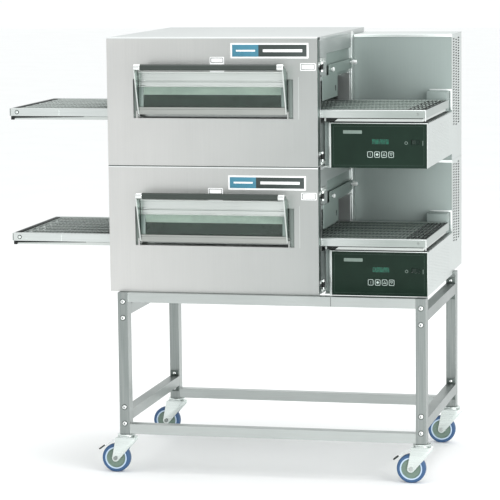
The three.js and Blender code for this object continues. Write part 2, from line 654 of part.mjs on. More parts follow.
// Sheet-metal housing behind the control box, with the cover of the belt's drive on its front.
function machineHousing(bottom, top) {
  const x = [BODY_WIDTH + GAP, BODY_WIDTH + HOUSING_WIDTH];
  const z = [bottom, top];
  const shell = block(x, HOUSING_Y, z).subtract(
    block(inset(x, THIN_SHEET), inset(HOUSING_Y, THIN_SHEET), inset(z, THIN_SHEET)),
  );
  const vents = ventSlots([x[1] - THIN_SHEET - 1, x[1] + 1], HOUSING_Y, top);
  const coverX = [x[1] - DRIVE_COVER.fromRight - DRIVE_COVER.width, x[1] - DRIVE_COVER.fromRight];
  const coverBottom = CONTROL_Z[1] + DRIVE_COVER.rise;
  const coverTop = RAIL_Z[1] + DRIVE_COVER.aboveRail;
  const cover = block(coverX, [COVER_FRONT, HOUSING_Y[0]], [coverBottom, coverTop]);
  const coverSpace = block(
    inset(coverX, THIN_SHEET),
    [COVER_FRONT + THIN_SHEET, HOUSING_Y[0] - THIN_SHEET],
    [coverBottom - 1, coverTop - THIN_SHEET],
  );
  const shaftRoom = bar(
    "y",
    SHAFT_RADIUS + DRIVE_COVER.shaftPlay,
    [COVER_FRONT - 1, COVER_FRONT + THIN_SHEET + 1],
    [DRIVE_X, SHAFT_Z],
  );
  return cut(joined([shell, cover]), [coverSpace, shaftRoom, ...vents]);
}

// Long box under the conveyor's right end, open at the front for the fascia and at the back.
function controlBox() {
  const y = [FASCIA_Y[1] + GAP, HOUSING_Y[0] - GAP];
  return block(CONTROL_X, y, CONTROL_Z).subtract(
    block(inset(CONTROL_X, THIN_SHEET), inset(y, -1), inset(CONTROL_Z, THIN_SHEET)),
  );
}

function keyPlaces() {
  const first = CONTROL_X[1] - KEYS_FROM_RIGHT;
  return Array.from({ length: KEY.count }, (_, i) => first + i * (KEY.width + KEY.spacing));
}

// Front plate of the control box, with openings for the keys, the display and the switch.
function controlFascia() {
  const x = [CONTROL_X[0] + FASCIA_SIDE_STRIP, CONTROL_X[1]];
  const window = (width, height, placeX, placeZ, y) =>
    block(
      [placeX - width / 2, placeX + width / 2],
      y,
      [placeZ - height / 2, placeZ + height / 2],
    );
  const through = inset(FASCIA_Y, -1);
  const keyHoles = keyPlaces().map((place) =>
    window(KEY.width + 2 * GAP, KEY.height + 2 * GAP, place, KEY_MIDDLE, through),
  );
  const switchHole = window(
    SWITCH.width + 2 * SWITCH.play,
    SWITCH.height + 2 * GAP,
    CONTROL_X[1] - SWITCH.fromRight,
    SWITCH.middle,
    through,
  );
  const displayPocket = window(
    DISPLAY.width,
    DISPLAY.height,
    CONTROL_X[1] - DISPLAY.fromRight,
    DISPLAY.middle,
    [FASCIA_Y[0] - 1, FASCIA_Y[0] + DISPLAY.depth],
  );
  const plate = block(x, FASCIA_Y, CONTROL_Z);
  return cut(plate, [...keyHoles, switchHole, displayPocket]);
}

function controlKey() {
  const shape = roundedRectangle(KEY.width, KEY.height, KEY.radius);
  return plateAcrossY(shape, [FASCIA_Y[0] - KEY.proud, FASCIA_Y[1] + KEY.room], 2);
}

// Rocker with a shallow V across its face, tipped to one side about its middle.
function powerSwitch() {
  const half = SWITCH.width / 2;
  const tip = SWITCH.pivot + ROCKER.proud;
  const shape = new THREE.Shape();
  shape.moveTo(-half, -tip);
  shape.lineTo(0, -tip + ROCKER.dip);
  shape.lineTo(half, -tip);
  shape.lineTo(ROCKER.taper * half, SWITCH.pivot);
  shape.lineTo(-ROCKER.taper * half, SWITCH.pivot);
  const rocker = new THREE.ExtrudeGeometry(shape, { depth: SWITCH.height, bevelEnabled: false });
  rocker.translate(0, 0, -SWITCH.height / 2);
  rocker.rotateZ(THREE.MathUtils.degToRad(SWITCH.tilt));
  return solid(rocker);
}

// ---------------------------------------------------------------- stand

// Welded frame of two legs and two cross rails of hollow tube, open at the legs' feet.
function standFrame(middleY) {
  const wall = TUBE_WALL;
  const legY = [middleY - LEG_DEPTH / 2, middleY + LEG_DEPTH / 2];
  const railY = [middleY - CROSS_RAIL_DEPTH / 2, middleY + CROSS_RAIL_DEPTH / 2];
  const legZ = [-STAND_HEIGHT, -GAP];
  const railBottom = -STAND_HEIGHT + CROSS_RAIL_LIFT;
  const railHeights = [
    [railBottom, railBottom + CROSS_RAIL_HEIGHT],
    [-CROSS_RAIL_HEIGHT, -GAP],
  ];
  const legs = LEG_X.map((x) => block([x - LEG_WIDTH / 2, x + LEG_WIDTH / 2], legY, legZ));
  const rails = railHeights.map((z) => block(LEG_X, railY, z));
  const legSpaces = LEG_X.map((x) =>
    block(
      inset([x - LEG_WIDTH / 2, x + LEG_WIDTH / 2], wall),
      inset(legY, wall),
      inset(legZ, wall),
    ),
  );
  const railSpaces = railHeights.map((z) => block(LEG_X, inset(railY, wall), inset(z, wall)));
  const stemHoles = LEG_X.map((x) =>
    bar("z", STEM.radius + RUNNING, [-STAND_HEIGHT - 1, -STAND_HEIGHT + wall + 1], [x, middleY]),
  );
  return cut(joined([...legs, ...rails]), [...legSpaces, ...railSpaces, ...stemHoles]);
}

// Square tube between the two frames with a bolted plate at each end.
function sideRail() {
  const half = SIDE_RAIL / 2;
  const y = [LEG_Y[0] + LEG_DEPTH / 2 + GAP, LEG_Y[1] - LEG_DEPTH / 2 - GAP];
  const plateHalfWidth = LEG_WIDTH / 2 - END_PLATE.inset;
  const plateHalfHeight = BOLT_SPREAD + END_PLATE.margin;
  const plates = [
    [y[0], y[0] + END_PLATE.thickness],
    [y[1] - END_PLATE.thickness, y[1]],
  ].map((place) =>
    block([-plateHalfWidth, plateHalfWidth], place, [-plateHalfHeight, plateHalfHeight]),
  );
  const across = [-half, half];
  const tube = block(across, y, across);
  const space = block(inset(across, TUBE_WALL), inset(y, -1), inset(across, TUBE_WALL));
  return joined([tube, ...plates]).subtract(space);
}

// ---------------------------------------------------------------- casters
// Both are drawn around the swivel axis, with Z = 0 at the foot of the leg.

// Swivel fork: stem, raceway, crown and two side plates that carry the axle.
function casterFork() {
  const inner = WHEEL_WIDTH / 2 + FORK_PLAY;
  const outer = inner + FORK_SHEET;
  const crownTop = -GAP - RACEWAY_HEIGHT;
  const raceway = bar("z", RACEWAY_RADIUS, [crownTop, -GAP], [0, 0], 24);
  const crown = block(
    [-RACEWAY_RADIUS, RACEWAY_RADIUS],
    [-outer, outer],
    [crownTop - FORK_SHEET, crownTop],
  );
  const shape = new THREE.Shape();
  shape.moveTo(-RACEWAY_RADIUS - FORK_OVERHANG, crownTop);
  shape.lineTo(-CASTER_TRAIL - FORK_EYE, -AXLE_DROP);
  shape.absarc(-CASTER_TRAIL, -AXLE_DROP, FORK_EYE, Math.PI, 1.75 * Math.PI);
  shape.lineTo(RACEWAY_RADIUS + FORK_OVERHANG, crownTop - FORK_LIP);
  shape.lineTo(RACEWAY_RADIUS + FORK_OVERHANG, crownTop);
  const plates = [
    [inner, outer],
    [-outer, -inner],
  ].map((place) => plateAcrossY(shape, place, 5));
  const axle = bar("y", AXLE_RADIUS, [-outer - AXLE_END, outer + AXLE_END], [-CASTER_TRAIL, -AXLE_DROP]);
  const stem = bar("z", STEM.radius, [-GAP - 1, STEM.length], [0, 0], 12);
  return joined([raceway, crown, ...plates, axle, stem]);
}

// Wheel: a crowned tyre on a recessed core, with a hub that turns on the axle.
function casterWheel() {
  const half = WHEEL_WIDTH / 2;
  const rim = WHEEL_RADIUS - TREAD;
  const profile = [
    [AXLE_RADIUS + RUNNING, -half],
    [HUB_RADIUS, -half],
    [HUB_RADIUS + CORE.flare, -half + CORE.recess],
    [rim - CORE.flare, -half + CORE.recess],
    [rim, -half + CORE.rimRecess],
    [WHEEL_RADIUS - SHOULDER.radius, -half + SHOULDER.recess],
    [WHEEL_RADIUS, -half + SHOULDER.crown],
    [WHEEL_RADIUS, half - SHOULDER.crown],
    [WHEEL_RADIUS - SHOULDER.radius, half - SHOULDER.recess],
    [rim, half - CORE.rimRecess],
    [rim - CORE.flare, half - CORE.recess],
    [HUB_RADIUS + CORE.flare, half - CORE.recess],
    [HUB_RADIUS, half],
    [AXLE_RADIUS + RUNNING, half],
    [AXLE_RADIUS + RUNNING, -half],
  ].map(([radius, along]) => new THREE.Vector2(radius, along));
  const wheel = new THREE.LatheGeometry(profile, 20);
  return solid(wheel);
}

// ---------------------------------------------------------------- assembly

const oven = new THREE.Group();

function addDeck(prefix, index) {
  const deck = new THREE.Group();
  const add = (name, body, material, place) => addPart(deck, prefix + name, body, material, place);
  deck.position.z = index * DECK_HEIGHT;
  add("casing", casing(), casingSteel);
  add("front_door", frontDoor(), doorSteel);
  add("window_frame", windowFrame(), railSteel);
  add("window_glass", windowGlass(), tintedGlass);
  add("window_handle", windowGrip(), gripBlack);
  add("exit_baffle", exitBaffle(), darkSteel);
  add("conveyor_frame", conveyorFrame(), railSteel);
  add("conveyor_belt", conveyorBelt(), wireSteel);
  add("drive_shaft", driveShaft(), zinc);
  add("idler_shaft", idlerShaft(), zinc);
  add("crumb_pan_left", crumbPan(inset([CONVEYOR_X[0], 0], PAN_INSET)), railSteel);
  add("crumb_pan_right", crumbPan(inset([BODY_WIDTH, CONVEYOR_X[1]], PAN_INSET)), railSteel);
  add("air_finger_top", airFinger(TUNNEL_Z[1] - UPPER_FINGER_DROP, false), darkSteel);
  add("air_finger_bottom", airFinger(RAIL_Z[0] - LOWER_FINGER_DROP - FINGER_HEIGHT, true), darkSteel);
  add("blower_wheel", blowerWheel(), zinc);
  const lap = index === 0 ? 0 : HOUSING_LAP;
  const isTop = index === DECK_COUNT - 1;
  const housingTop = DECK_HEIGHT - (isTop ? HOUSING_DROP : HOUSING_LAP + GAP);
  add("machine_housing", machineHousing(-lap, housingTop), housingSteel);
  add("control_box", controlBox(), casingSteel);
  add("control_fascia", controlFascia(), fasciaBlack);
  keyPlaces().forEach((place, i) => {
    add(`key_${i + 1}`, controlKey(), keyGrey, [place, 0, KEY_MIDDLE]);
  });
  const switchX = CONTROL_X[1] - SWITCH.fromRight;
  const switchPlace = [switchX, FASCIA_Y[0] + SWITCH.pivot, SWITCH.middle];
  add("power_switch", powerSwitch(), gripBlack, switchPlace);
  oven.add(deck);
}

function addStand() {
  const [frontY, rearY] = LEG_Y;
  addPart(oven, "stand_front_frame", standFrame(frontY), standSteel);
  addPart(oven, "stand_rear_frame", standFrame(rearY), standSteel);
  const rails = { upper: -SIDE_RAIL_DROP, lower: -STAND_HEIGHT + LOWER_RAIL_RISE };
  for (const [level, z] of Object.entries(rails)) {
    addPart(oven, `stand_left_${level}_rail`, sideRail(), standSteel, [LEG_X[0], 0, z]);
    addPart(oven, `stand_right_${level}_rail`, sideRail(), standSteel, [LEG_X[1], 0, z]);
  }
  const corners = {
    front_left: [LEG_X[0], frontY],
    front_right: [LEG_X[1], frontY],
    rear_left: [LEG_X[0], rearY],
    rear_right: [LEG_X[1], rearY],
  };
  for (const [corner, [x, y]] of Object.entries(corners)) {
    addPart(oven, `caster_fork_${corner}`, casterFork(), zinc, [x, y, -STAND_HEIGHT]);
    addPart(oven, `caster_wheel_${corner}`, casterWheel(), blueRubber, [
      x - CASTER_TRAIL,
      y,
      -STAND_HEIGHT - AXLE_DROP,
    ]);
  }
}

addDeck("lower_", 0);
addDeck("upper_", 1);
addStand();

// The origin goes to the floor, in the middle of the footprint.
const extent = new THREE.Box3().setFromObject(oven);
const middle = extent.getCenter(new THREE.Vector3());
oven.position.set(-middle.x, -middle.y, -extent.min.z);

export default oven;
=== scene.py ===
"""Looks of the double-stacked conveyor pizza oven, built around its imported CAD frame."""
import math

import bmesh
import bpy
import numpy as np
from mathutils import Matrix, Vector


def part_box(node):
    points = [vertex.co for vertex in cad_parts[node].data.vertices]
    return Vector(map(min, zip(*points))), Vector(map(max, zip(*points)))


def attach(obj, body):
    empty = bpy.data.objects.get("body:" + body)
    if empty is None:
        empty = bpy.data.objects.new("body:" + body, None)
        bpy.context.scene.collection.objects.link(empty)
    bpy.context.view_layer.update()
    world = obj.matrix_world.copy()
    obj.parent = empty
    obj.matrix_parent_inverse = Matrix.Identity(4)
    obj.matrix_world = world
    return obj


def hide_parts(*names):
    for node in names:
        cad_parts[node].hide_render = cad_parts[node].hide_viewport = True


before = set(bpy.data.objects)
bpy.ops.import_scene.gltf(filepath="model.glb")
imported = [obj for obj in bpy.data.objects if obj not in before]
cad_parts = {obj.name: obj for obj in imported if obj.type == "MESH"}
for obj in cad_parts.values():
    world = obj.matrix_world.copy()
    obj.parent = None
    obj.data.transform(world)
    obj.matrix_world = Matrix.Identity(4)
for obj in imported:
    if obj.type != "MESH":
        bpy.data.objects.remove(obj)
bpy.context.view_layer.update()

MM = 0.001  # every size below is in millimetres, unless its comment says otherwise

# ---------------------------------------------------------------- camera

CAMERA_PLACE = (2.129, -9.1075, 1.953)  # metres
CAMERA_YAW, CAMERA_PITCH, CAMERA_ROLL = 12.999, 7.247, -0.634  # degrees
CAMERA_LENS = 181.46


def add_camera():
    data = bpy.data.cameras.new("camera")
    data.lens = CAMERA_LENS
    data.clip_end = 100
    camera = bpy.data.objects.new("camera", data)
    turn = Matrix.Rotation(math.radians(CAMERA_YAW), 4, "Z")
    tilt = Matrix.Rotation(math.radians(90 - CAMERA_PITCH), 4, "X")
    roll = Matrix.Rotation(math.radians(CAMERA_ROLL), 4, "Z")
    camera.matrix_world = Matrix.Translation(CAMERA_PLACE) @ turn @ tilt @ roll
    bpy.context.scene.collection.objects.link(camera)
    bpy.context.scene.camera = camera


add_camera()
bpy.context.scene.view_settings.view_transform = "Standard"

# ---------------------------------------------------------------- materials


def srgb(*levels):
    """A colour given in 0-255 display values, as linear light."""
    return tuple((c / 255 / 12.92) if c <= 10 else ((c / 255 + 0.055) / 1.055) ** 2.4 for c in levels)


class Look:
    """A procedural material: its nodes end in one principled shader."""

    def __init__(self, name):
        self.material = bpy.data.materials.new(name)
        self.material.use_nodes = True
        self.nodes = self.material.node_tree.nodes
        self.links = self.material.node_tree.links
        self.shader = self.nodes["Principled BSDF"]

    def feed(self, socket, value):
        self.links.new(value, self.shader.inputs[socket])

    def place(self):
        """Places in the row frame's metres."""
        return self.nodes.new("ShaderNodeTexCoord").outputs["Object"]

    def place_x(self):
        split = self.nodes.new("ShaderNodeSeparateXYZ")
        self.links.new(self.place(), split.inputs["Vector"])
        return split.outputs["X"]

    def noise(self, stretch, detail=5.0, offset=0.0):
        """Noise with its own number of waves per metre along each axis."""
        mapping = self.nodes.new("ShaderNodeMapping")
        mapping.inputs["Scale"].default_value = stretch
        mapping.inputs["Location"].default_value = (offset, offset, offset)
        noise = self.nodes.new("ShaderNodeTexNoise")
        noise.inputs["Scale"].default_value = 1.0
        noise.inputs["Detail"].default_value = detail
        self.links.new(self.place(), mapping.inputs["Vector"])
        self.links.new(mapping.outputs["Vector"], noise.inputs["Vector"])
        return noise.outputs["Fac"]

    def ranged(self, value, low, high, source=(0.3, 0.7)):
        node = self.nodes.new("ShaderNodeMapRange")
        node.inputs["From Min"].default_value, node.inputs["From Max"].default_value = source
        node.inputs["To Min"].default_value = low
        node.inputs["To Max"].default_value = high
        self.links.new(value, node.inputs["Value"])
        return node.outputs["Result"]

    def tinted(self, value, dark, light, source=(0.3, 0.7)):
        """A colour between two, by a value between the two ends of source."""
        ramp = self.nodes.new("ShaderNodeValToRGB")
        for stop, position, colour in zip(ramp.color_ramp.elements, source, (dark, light)):
            stop.position = position
            stop.color = (*colour, 1)
        self.links.new(value, ramp.inputs["Fac"])
        return ramp.outputs["Color"]

    def calculated(self, operation, value, number=0.0, added=None):
        """A value put through one sum with a number, and with another value where one is given."""
        node = self.nodes.new("ShaderNodeMath")
        node.operation = operation
        node.inputs[1].default_value = number
        self.links.new(value, node.inputs[0])
        if added is not None:
            self.links.new(added, node.inputs[2])
        return node.outputs[0]

    def mixed(self, share, first, second, blend="MIX"):
        """Two colours mixed; each input is another node's output or a constant."""
        mix = self.nodes.new("ShaderNodeMix")
        mix.data_type = "RGBA"
        mix.blend_type = blend
        for socket, value in zip((mix.inputs[0], mix.inputs[6], mix.inputs[7]), (share, first, second)):
            if isinstance(value, bpy.types.NodeSocket):
                self.links.new(value, socket)
            else:
                socket.default_value = value
        return mix.outputs[2]

    def bump(self, value, strength, distance):
        bump = self.nodes.new("ShaderNodeBump")
        bump.inputs["Strength"].default_value = strength
        bump.inputs["Distance"].default_value = distance
        self.links.new(value, bump.inputs["Height"])
        self.feed("Normal", bump.outputs["Normal"])

    def worn_edges(self, low, high):
        """Higher where the surface bulges, as on rubbed corners."""
        geometry = self.nodes.new("ShaderNodeNewGeometry")
        return self.ranged(geometry.outputs["Pointiness"], low, high, (0.5, 0.56))


def scaled(colour, factor):
    return [min(1.0, c * factor) for c in colour]


BRUSH = {"x": (5, 420, 420), "y": (420, 5, 420), "z": (420, 420, 5)}  # waves per metre


def brushed_steel(name, colour, roughness=0.36, along="z", contrast=0.07, metallic=1.0):
    """Satin sheet with fine brushing along one axis, and broad smudges in its gloss."""
    look = Look(name)
    brushing = look.noise(BRUSH[along], 6.0)
    smudges = look.noise((3.1, 3.7, 2.9), 3.0, 4.0)
    marks = look.calculated("MULTIPLY_ADD", brushing, 0.7, look.ranged(smudges, 0.0, 0.3))
    tones = scaled(colour, 1 - contrast), scaled(colour, 1 + contrast)
    look.feed("Base Color", look.tinted(marks, *tones, (0.3, 0.75)))
    look.feed("Roughness", look.ranged(marks, roughness - 0.06, roughness + 0.07))
    look.bump(brushing, 0.12, 0.0004)
    look.shader.inputs["Metallic"].default_value = metallic
    return look


def painted_reflection_steel(name, left, right, span, roughness=0.33, along="x", contrast=0.06):
    """Satin sheet with a painted reflection: its tone goes from one colour to another between two places
    along X, in metres.
    """
    look = brushed_steel(name, left, roughness, along, contrast)
    brushed = look.shader.inputs["Base Color"].links[0].from_socket
    share = look.ranged(look.place_x(), 0.0, 1.0, span)
    ratio = [r / l for l, r in zip(left, right)]
    # the painted reflection: a tone ramp between the two ends of the span
    tone = look.tinted(share, (1, 1, 1), ratio, (0.0, 1.0))
    look.feed("Base Color", look.mixed(1.0, brushed, tone, "MULTIPLY"))
    return look


LEG_WIDTH = 0.038  # of the stand's square tube, in metres


def stand_steel():
    """Square tube brushed along its length: the legs upwards, the rails between them sideways, with the
    legs painted darker as painted shade for how their brushing reflects the light.
    """
    look = brushed_steel("stand_steel", srgb(184, 189, 187), 0.36, "x", 0.07)
    rails = look.shader.inputs["Base Color"].links[0].from_socket
    # painted shade: darker tones for the legs than for the rails
    legs = look.tinted(look.noise(BRUSH["z"], 6.0), srgb(134, 141, 139), srgb(156, 161, 159))
    low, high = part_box("stand_front_frame")
    middle_x, half = (low.x + high.x) / 2, (high.x - low.x) / 2
    reach = look.calculated("ABSOLUTE", look.calculated("SUBTRACT", look.place_x(), middle_x))
    edge = half - LEG_WIDTH
    leg_share = look.ranged(reach, 0.0, 1.0, (edge - 0.0005, edge + 0.0005))
    look.feed("Base Color", look.mixed(leg_share, rails, legs))
    return look


def moulded(name, colour, roughness, grain=900, strength=0.15, wear=0.25, gloss=0.5):
    """Plastic or rubber with a fine moulded grain, a little lighter on its edges."""
    look = Look(name)
    look.shader.inputs["Specular IOR Level"].default_value = gloss
    fine = look.noise((grain, grain, grain), 3.0)
    broad = look.noise((14, 14, 14), 3.0, 2.0)
    base = look.tinted(broad, scaled(colour, 0.88), scaled(colour, 1.12))
    rubbed = (*[min(1, c * 1.6 + 0.004) for c in colour], 1)
    look.feed("Base Color", look.mixed(look.worn_edges(0.0, wear), base, rubbed))
    look.feed("Roughness", look.ranged(fine, roughness - 0.05, roughness + 0.08))
    look.bump(fine, strength, 0.0002)
    return look


def printed(name, colour, roughness=0.45):
    """Ink, film or enamel, and the painted shade and painted reflection behind the window's glass: an
    even colour with a slight mottle and a fine orange-peel surface.
    """
    look = Look(name)
    mottle = look.noise((60, 60, 60), 4.0)
    look.feed("Base Color", look.tinted(mottle, scaled(colour, 0.93), scaled(colour, 1.05)))
    look.feed("Roughness", look.ranged(mottle, roughness - 0.05, roughness + 0.05))
    look.bump(look.noise((1400, 1400, 1400), 2.0), 0.05, 0.0001)
    return look


def glass():
    """Green-tinted glass with faint streaks where it was wiped."""
    look = Look("tinted_glass")
    streaks = look.noise((9, 40, 60), 4.0)
    look.feed("Base Color", look.tinted(streaks, (0.60, 0.70, 0.65), (0.68, 0.78, 0.72)))
    look.feed("Roughness", look.ranged(streaks, 0.02, 0.10))
    look.shader.inputs["Transmission Weight"].default_value = 1.0
    look.shader.inputs["IOR"].default_value = 1.45
    return look


def display():
    """Green glowing segments behind a dark filter, as a row of blank cells."""
    look = Look("display_green")
    glow = look.tinted(look.noise((160, 1, 90), 1.0), srgb(3, 44, 34), srgb(10, 84, 64))
    look.feed("Base Color", glow)
    look.feed("Emission Color", glow)
    look.shader.inputs["Emission Strength"].default_value = 0.14
    look.shader.inputs["Roughness"].default_value = 0.25
    return look


BRUSHED = {  # colour, roughness, the way it is brushed, contrast and metallic share
    "casing_steel": ((192, 196, 195), 0.36, "y"),
    "housing_steel": ((143, 154, 151), 0.55, "z", 0.05, 0.45),
    "vent_steel": ((205, 210, 208), 0.4, "z", 0.04),
    # bright trim, used also for painted highlights along edges
    "trim_steel": ((238, 241, 240), 0.34, "x", 0.03),
    # painted shade on the sides of the window opening
    "gap_steel": ((132, 141, 137), 0.5, "z", 0.1, 0.5),
    "sill_steel": ((170, 173, 169), 0.36, "x", 0.08),
    "rail_steel": ((205, 210, 207), 0.33, "x", 0.06),
    "wire_steel": ((160, 166, 163), 0.38, "x", 0.14),
    "dark_steel": ((112, 126, 121), 0.42, "y", 0.08),
    # darker steel: its tone is painted shade of the baffle's pocket and of the window's side frames
    "baffle_steel": ((138, 152, 147), 0.46, "z", 0.08, 0.7),
    "plate_steel": ((118, 132, 126), 0.42, "z", 0.08),
    "screw_steel": ((244, 246, 245), 0.35, "x", 0.03, 0.6),
    # painted shadow and shade: the deck's shadow line, the bolts' washers and the plates over the
    # stand's end plates
    "tab_steel": ((96, 104, 101), 0.45, "z", 0.08),
    "zinc": ((222, 229, 226), 0.26, "x", 0.08),
    "chrome": ((232, 234, 233), 0.14, "x", 0.03),
}
PAINTED_REFLECTION_GRADES = {  # a painted reflection, lighter at the left: left and right colour, the stretch of X between them, roughness and so on
    "door_steel": ((207, 207, 205), (177, 180, 178), (-0.35, 0.37), 0.38, "z", 0.035),
    "conveyor_steel": ((210, 215, 213), (172, 180, 176), (0.35, 0.62)),
    "belt_steel": ((172, 178, 175), (140, 150, 145), (-0.45, 0.45), 0.42),
}
MOULDED = {  # colour, roughness, grain, its strength, wear and gloss
    "grip_black": ((46, 54, 50), 0.42),
    "fascia_black": ((24, 42, 33), 0.34, 1600, 0.06, 0.1, 0.15),
    "key_grey": ((20, 36, 29), 0.38, 1600, 0.06, 0.1, 0.15),
    # black rubber, used also for painted shadow and shade in gaps, at joints and behind slots
    "black_rubber": ((24, 28, 27), 0.6, 900, 0.15, 0.25, 0.3),
    "tyre_blue": ((46, 80, 118), 0.5, 700),
    "ring_blue": ((176, 194, 214), 0.4, 700),
    "core_grey": ((112, 132, 120), 0.45, 700),
}
PRINTED = {  # colour and roughness
    "label_white": ((246, 247, 247), 0.45),
    "plate_blue": ((64, 128, 150), 0.35),
    "plate_black": ((52, 62, 60), 0.35),
    "print_white": ((184, 200, 193), 0.5),
    "print_dim": ((118, 134, 126), 0.5),
    "print_faint": ((38, 58, 49), 0.4),
    # painted shade: the dark inside of the oven seen through the window's glass
    "pane_green": ((34, 58, 48), 0.3),
    # painted reflection along the top of the window's glass
    "pane_light": ((250, 250, 248), 0.4),
}
LOOKS = {"stand_steel": stand_steel(), "tinted_glass": glass(), "display_green": display()}
for recipe, rows in ((brushed_steel, BRUSHED), (moulded, MOULDED), (printed, PRINTED)):
    LOOKS.update({name: recipe(name, srgb(*colour), *rest) for name, (colour, *rest) in rows.items()})
for name, (left, right, *rest) in PAINTED_REFLECTION_GRADES.items():
    LOOKS[name] = painted_reflection_steel(name, srgb(*left), srgb(*right), *rest)

# ---------------------------------------------------------------- mesh building, in millimetres


def middle(span):
    return (span[0] + span[1]) / 2


def grown(span, by):
    """A span moved out at both ends, or in where by is below zero."""
    return (span[0] - by, span[1] + by)


def flipped(profile, way=-1):
    """A turned profile that rises the other way along its axis."""
    return [(radius, way * along) for radius, along in profile]


def box_mm(node, origin=Vector((0, 0, 0))):
    """A CAD node's limits on each axis, in millimetres from an origin given in metres."""
    low, high = ((corner - origin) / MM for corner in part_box(node))
    return tuple(zip(low, high))


def add_block(bm, x, y, z, bevel=0.0, segments=2):
    """A block between two limits on each axis, with rounded edges."""
    size = (x[1] - x[0], y[1] - y[0], z[1] - z[0])
    middle = Vector(((x[0] + x[1]) / 2, (y[0] + y[1]) / 2, (z[0] + z[1]) / 2))
    matrix = Matrix.Translation(middle) @ Matrix.Diagonal((*size, 1))
    made = bmesh.ops.create_cube(bm, size=1, matrix=matrix)
    if bevel:
        edges = list({e for v in made["verts"] for e in v.link_edges})
        bmesh.ops.bevel(
            bm, geom=edges, offset=min(bevel, min(size) * 0.45), segments=segments,
            profile=0.5, affect="EDGES", clamp_overlap=True,
        )


# Turns a profile's (radius, along) plane so that it spins about the axis.
SPIN = {
    "x": Matrix(((0, 0, 1, 0), (1, 0, 0, 0), (0, 1, 0, 0), (0, 0, 0, 1))),
    "y": Matrix(((0, 1, 0, 0), (0, 0, 1, 0), (1, 0, 0, 0), (0, 0, 0, 1))),
    "z": Matrix.Identity(4),
}


def add_turned(bm, axis, profile, at=(0, 0, 0), segments=32):
    """A turned piece: profile holds (radius, along) pairs, and closes on the axis or on itself."""
    matrix = Matrix.Translation(at) @ SPIN[axis]
    rings = []
    for radius, along in profile:
        if radius < 1e-6:
            rings.append([bm.verts.new(matrix @ Vector((0, 0, along)))])
            continue
        angles = (2 * math.pi * i / segments for i in range(segments))
        points = (Vector((radius * math.cos(a), radius * math.sin(a), along)) for a in angles)
        rings.append([bm.verts.new(matrix @ p) for p in points])
    closed = len(rings[0]) > 1
    pairs = list(zip(rings, rings[1:] + rings[:1])) if closed else list(zip(rings, rings[1:]))
    for low, high in pairs:
        for i in range(segments):
            k = (i + 1) % segments
            if len(low) == 1:
                bm.faces.new((low[0], high[i], high[k]))
            elif len(high) == 1:
                bm.faces.new((low[i], high[0], low[k]))
            else:
                bm.faces.new((low[i], high[i], high[k], low[k]))


def rounded_bar(radius, low, high, edge):
    """Profile of a solid bar whose ends have a rounded edge."""
    arc = [(math.sin(a), math.cos(a)) for a in (math.pi * i / 8 for i in range(5))]
    start = [(radius - edge + edge * s, low + edge - edge * c) for s, c in arc]
    end = [(radius - edge + edge * s, high - edge + edge * c) for s, c in reversed(arc)]
    return [(0, low), *start, *end, (0, high)]


def dome(radius, base, height, rim):
    """Profile of a domed head with a thin straight rim."""
    steps = [math.pi / 2 * i / 6 for i in range(7)]
    crown = [(radius * math.cos(a), base + rim + (height - rim) * math.sin(a)) for a in steps]
    return [(0, base), (radius, base), *crown[:-1], (0, base + height)]


def laid(plane, a, b, level):
    """A point of an outline: plane "x" takes (y, z) points, "y" (x, z) and "z" (x, y)."""
    return {"x": (level, a, b), "y": (a, level, b), "z": (a, b, level)}[plane]


def bridge(bm, low, high):
    """Faces between two closed loops with the same number of points."""
    for i in range(len(low)):
        k = (i + 1) % len(low)
        bm.faces.new((low[i], low[k], high[k], high[i]))


def add_prism(bm, plane, outline, span, bevel=0.0):
    """An outline extruded across one axis, with its end edges bevelled."""
    low, high = ([bm.verts.new(laid(plane, a, b, level)) for a, b in outline] for level in span)
    ends = [bm.faces.new(low), bm.faces.new(high[::-1])]
    bridge(bm, high, low)
    if bevel:
        edges = list(set(ends[0].edges) | set(ends[1].edges))
        bmesh.ops.bevel(
            bm, geom=edges, offset=bevel, segments=2, profile=0.5, affect="EDGES", clamp_overlap=True
        )


def arc(centre, radius, first, last, steps=6):
    """Points on an arc, its angles in degrees."""
    angles = (math.radians(first + (last - first) * i / steps) for i in range(steps + 1))
    return [(centre[0] + radius * math.cos(a), centre[1] + radius * math.sin(a)) for a in angles]


def rounded_outline(x, z, radius, steps=5):
    """Outline of a rectangle with round corners."""
    corners = [
        ((x[1] - radius, z[0] + radius), -90),
        ((x[1] - radius, z[1] - radius), 0),
        ((x[0] + radius, z[1] - radius), 90),
        ((x[0] + radius, z[0] + radius), 180),
    ]
    return [p for centre, first in corners for p in arc(centre, radius, first, first + 90, steps)]


def add_frame_plate(bm, plane, outer, inner, span):
    """A flat ring between two outlines of the same number of points."""
    loops = [
        [bm.verts.new(laid(plane, a, b, level)) for a, b in line]
        for line, level in ((outer, span[0]), (outer, span[1]), (inner, span[1]), (inner, span[0]))
    ]
    for first, second in zip(loops, loops[1:] + loops[:1]):
        bridge(bm, second, first)


def finish_mesh(bm, name, transform, smooth_angle=35):
    bmesh.ops.recalc_face_normals(bm, faces=bm.faces)
    bm.transform(transform)
    mesh = bpy.data.meshes.new(name)
    bm.to_mesh(mesh)
    bm.free()
    mesh.shade_smooth()
    mesh.set_sharp_from_angle(angle=math.radians(smooth_angle))
    return mesh


def add_piece(name, bm, material, body, replaces=(), transform=Matrix.Scale(MM, 4)):
    """Turns a mesh in millimetres into a piece in the row frame that rides on a CAD body."""
    mesh = finish_mesh(bm, name, transform)
    mesh.materials.append(LOOKS[material].material)
    piece = bpy.data.objects.new(name, mesh)
    bpy.context.scene.collection.objects.link(piece)
    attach(piece, body)
    if replaces:
        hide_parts(*replaces)


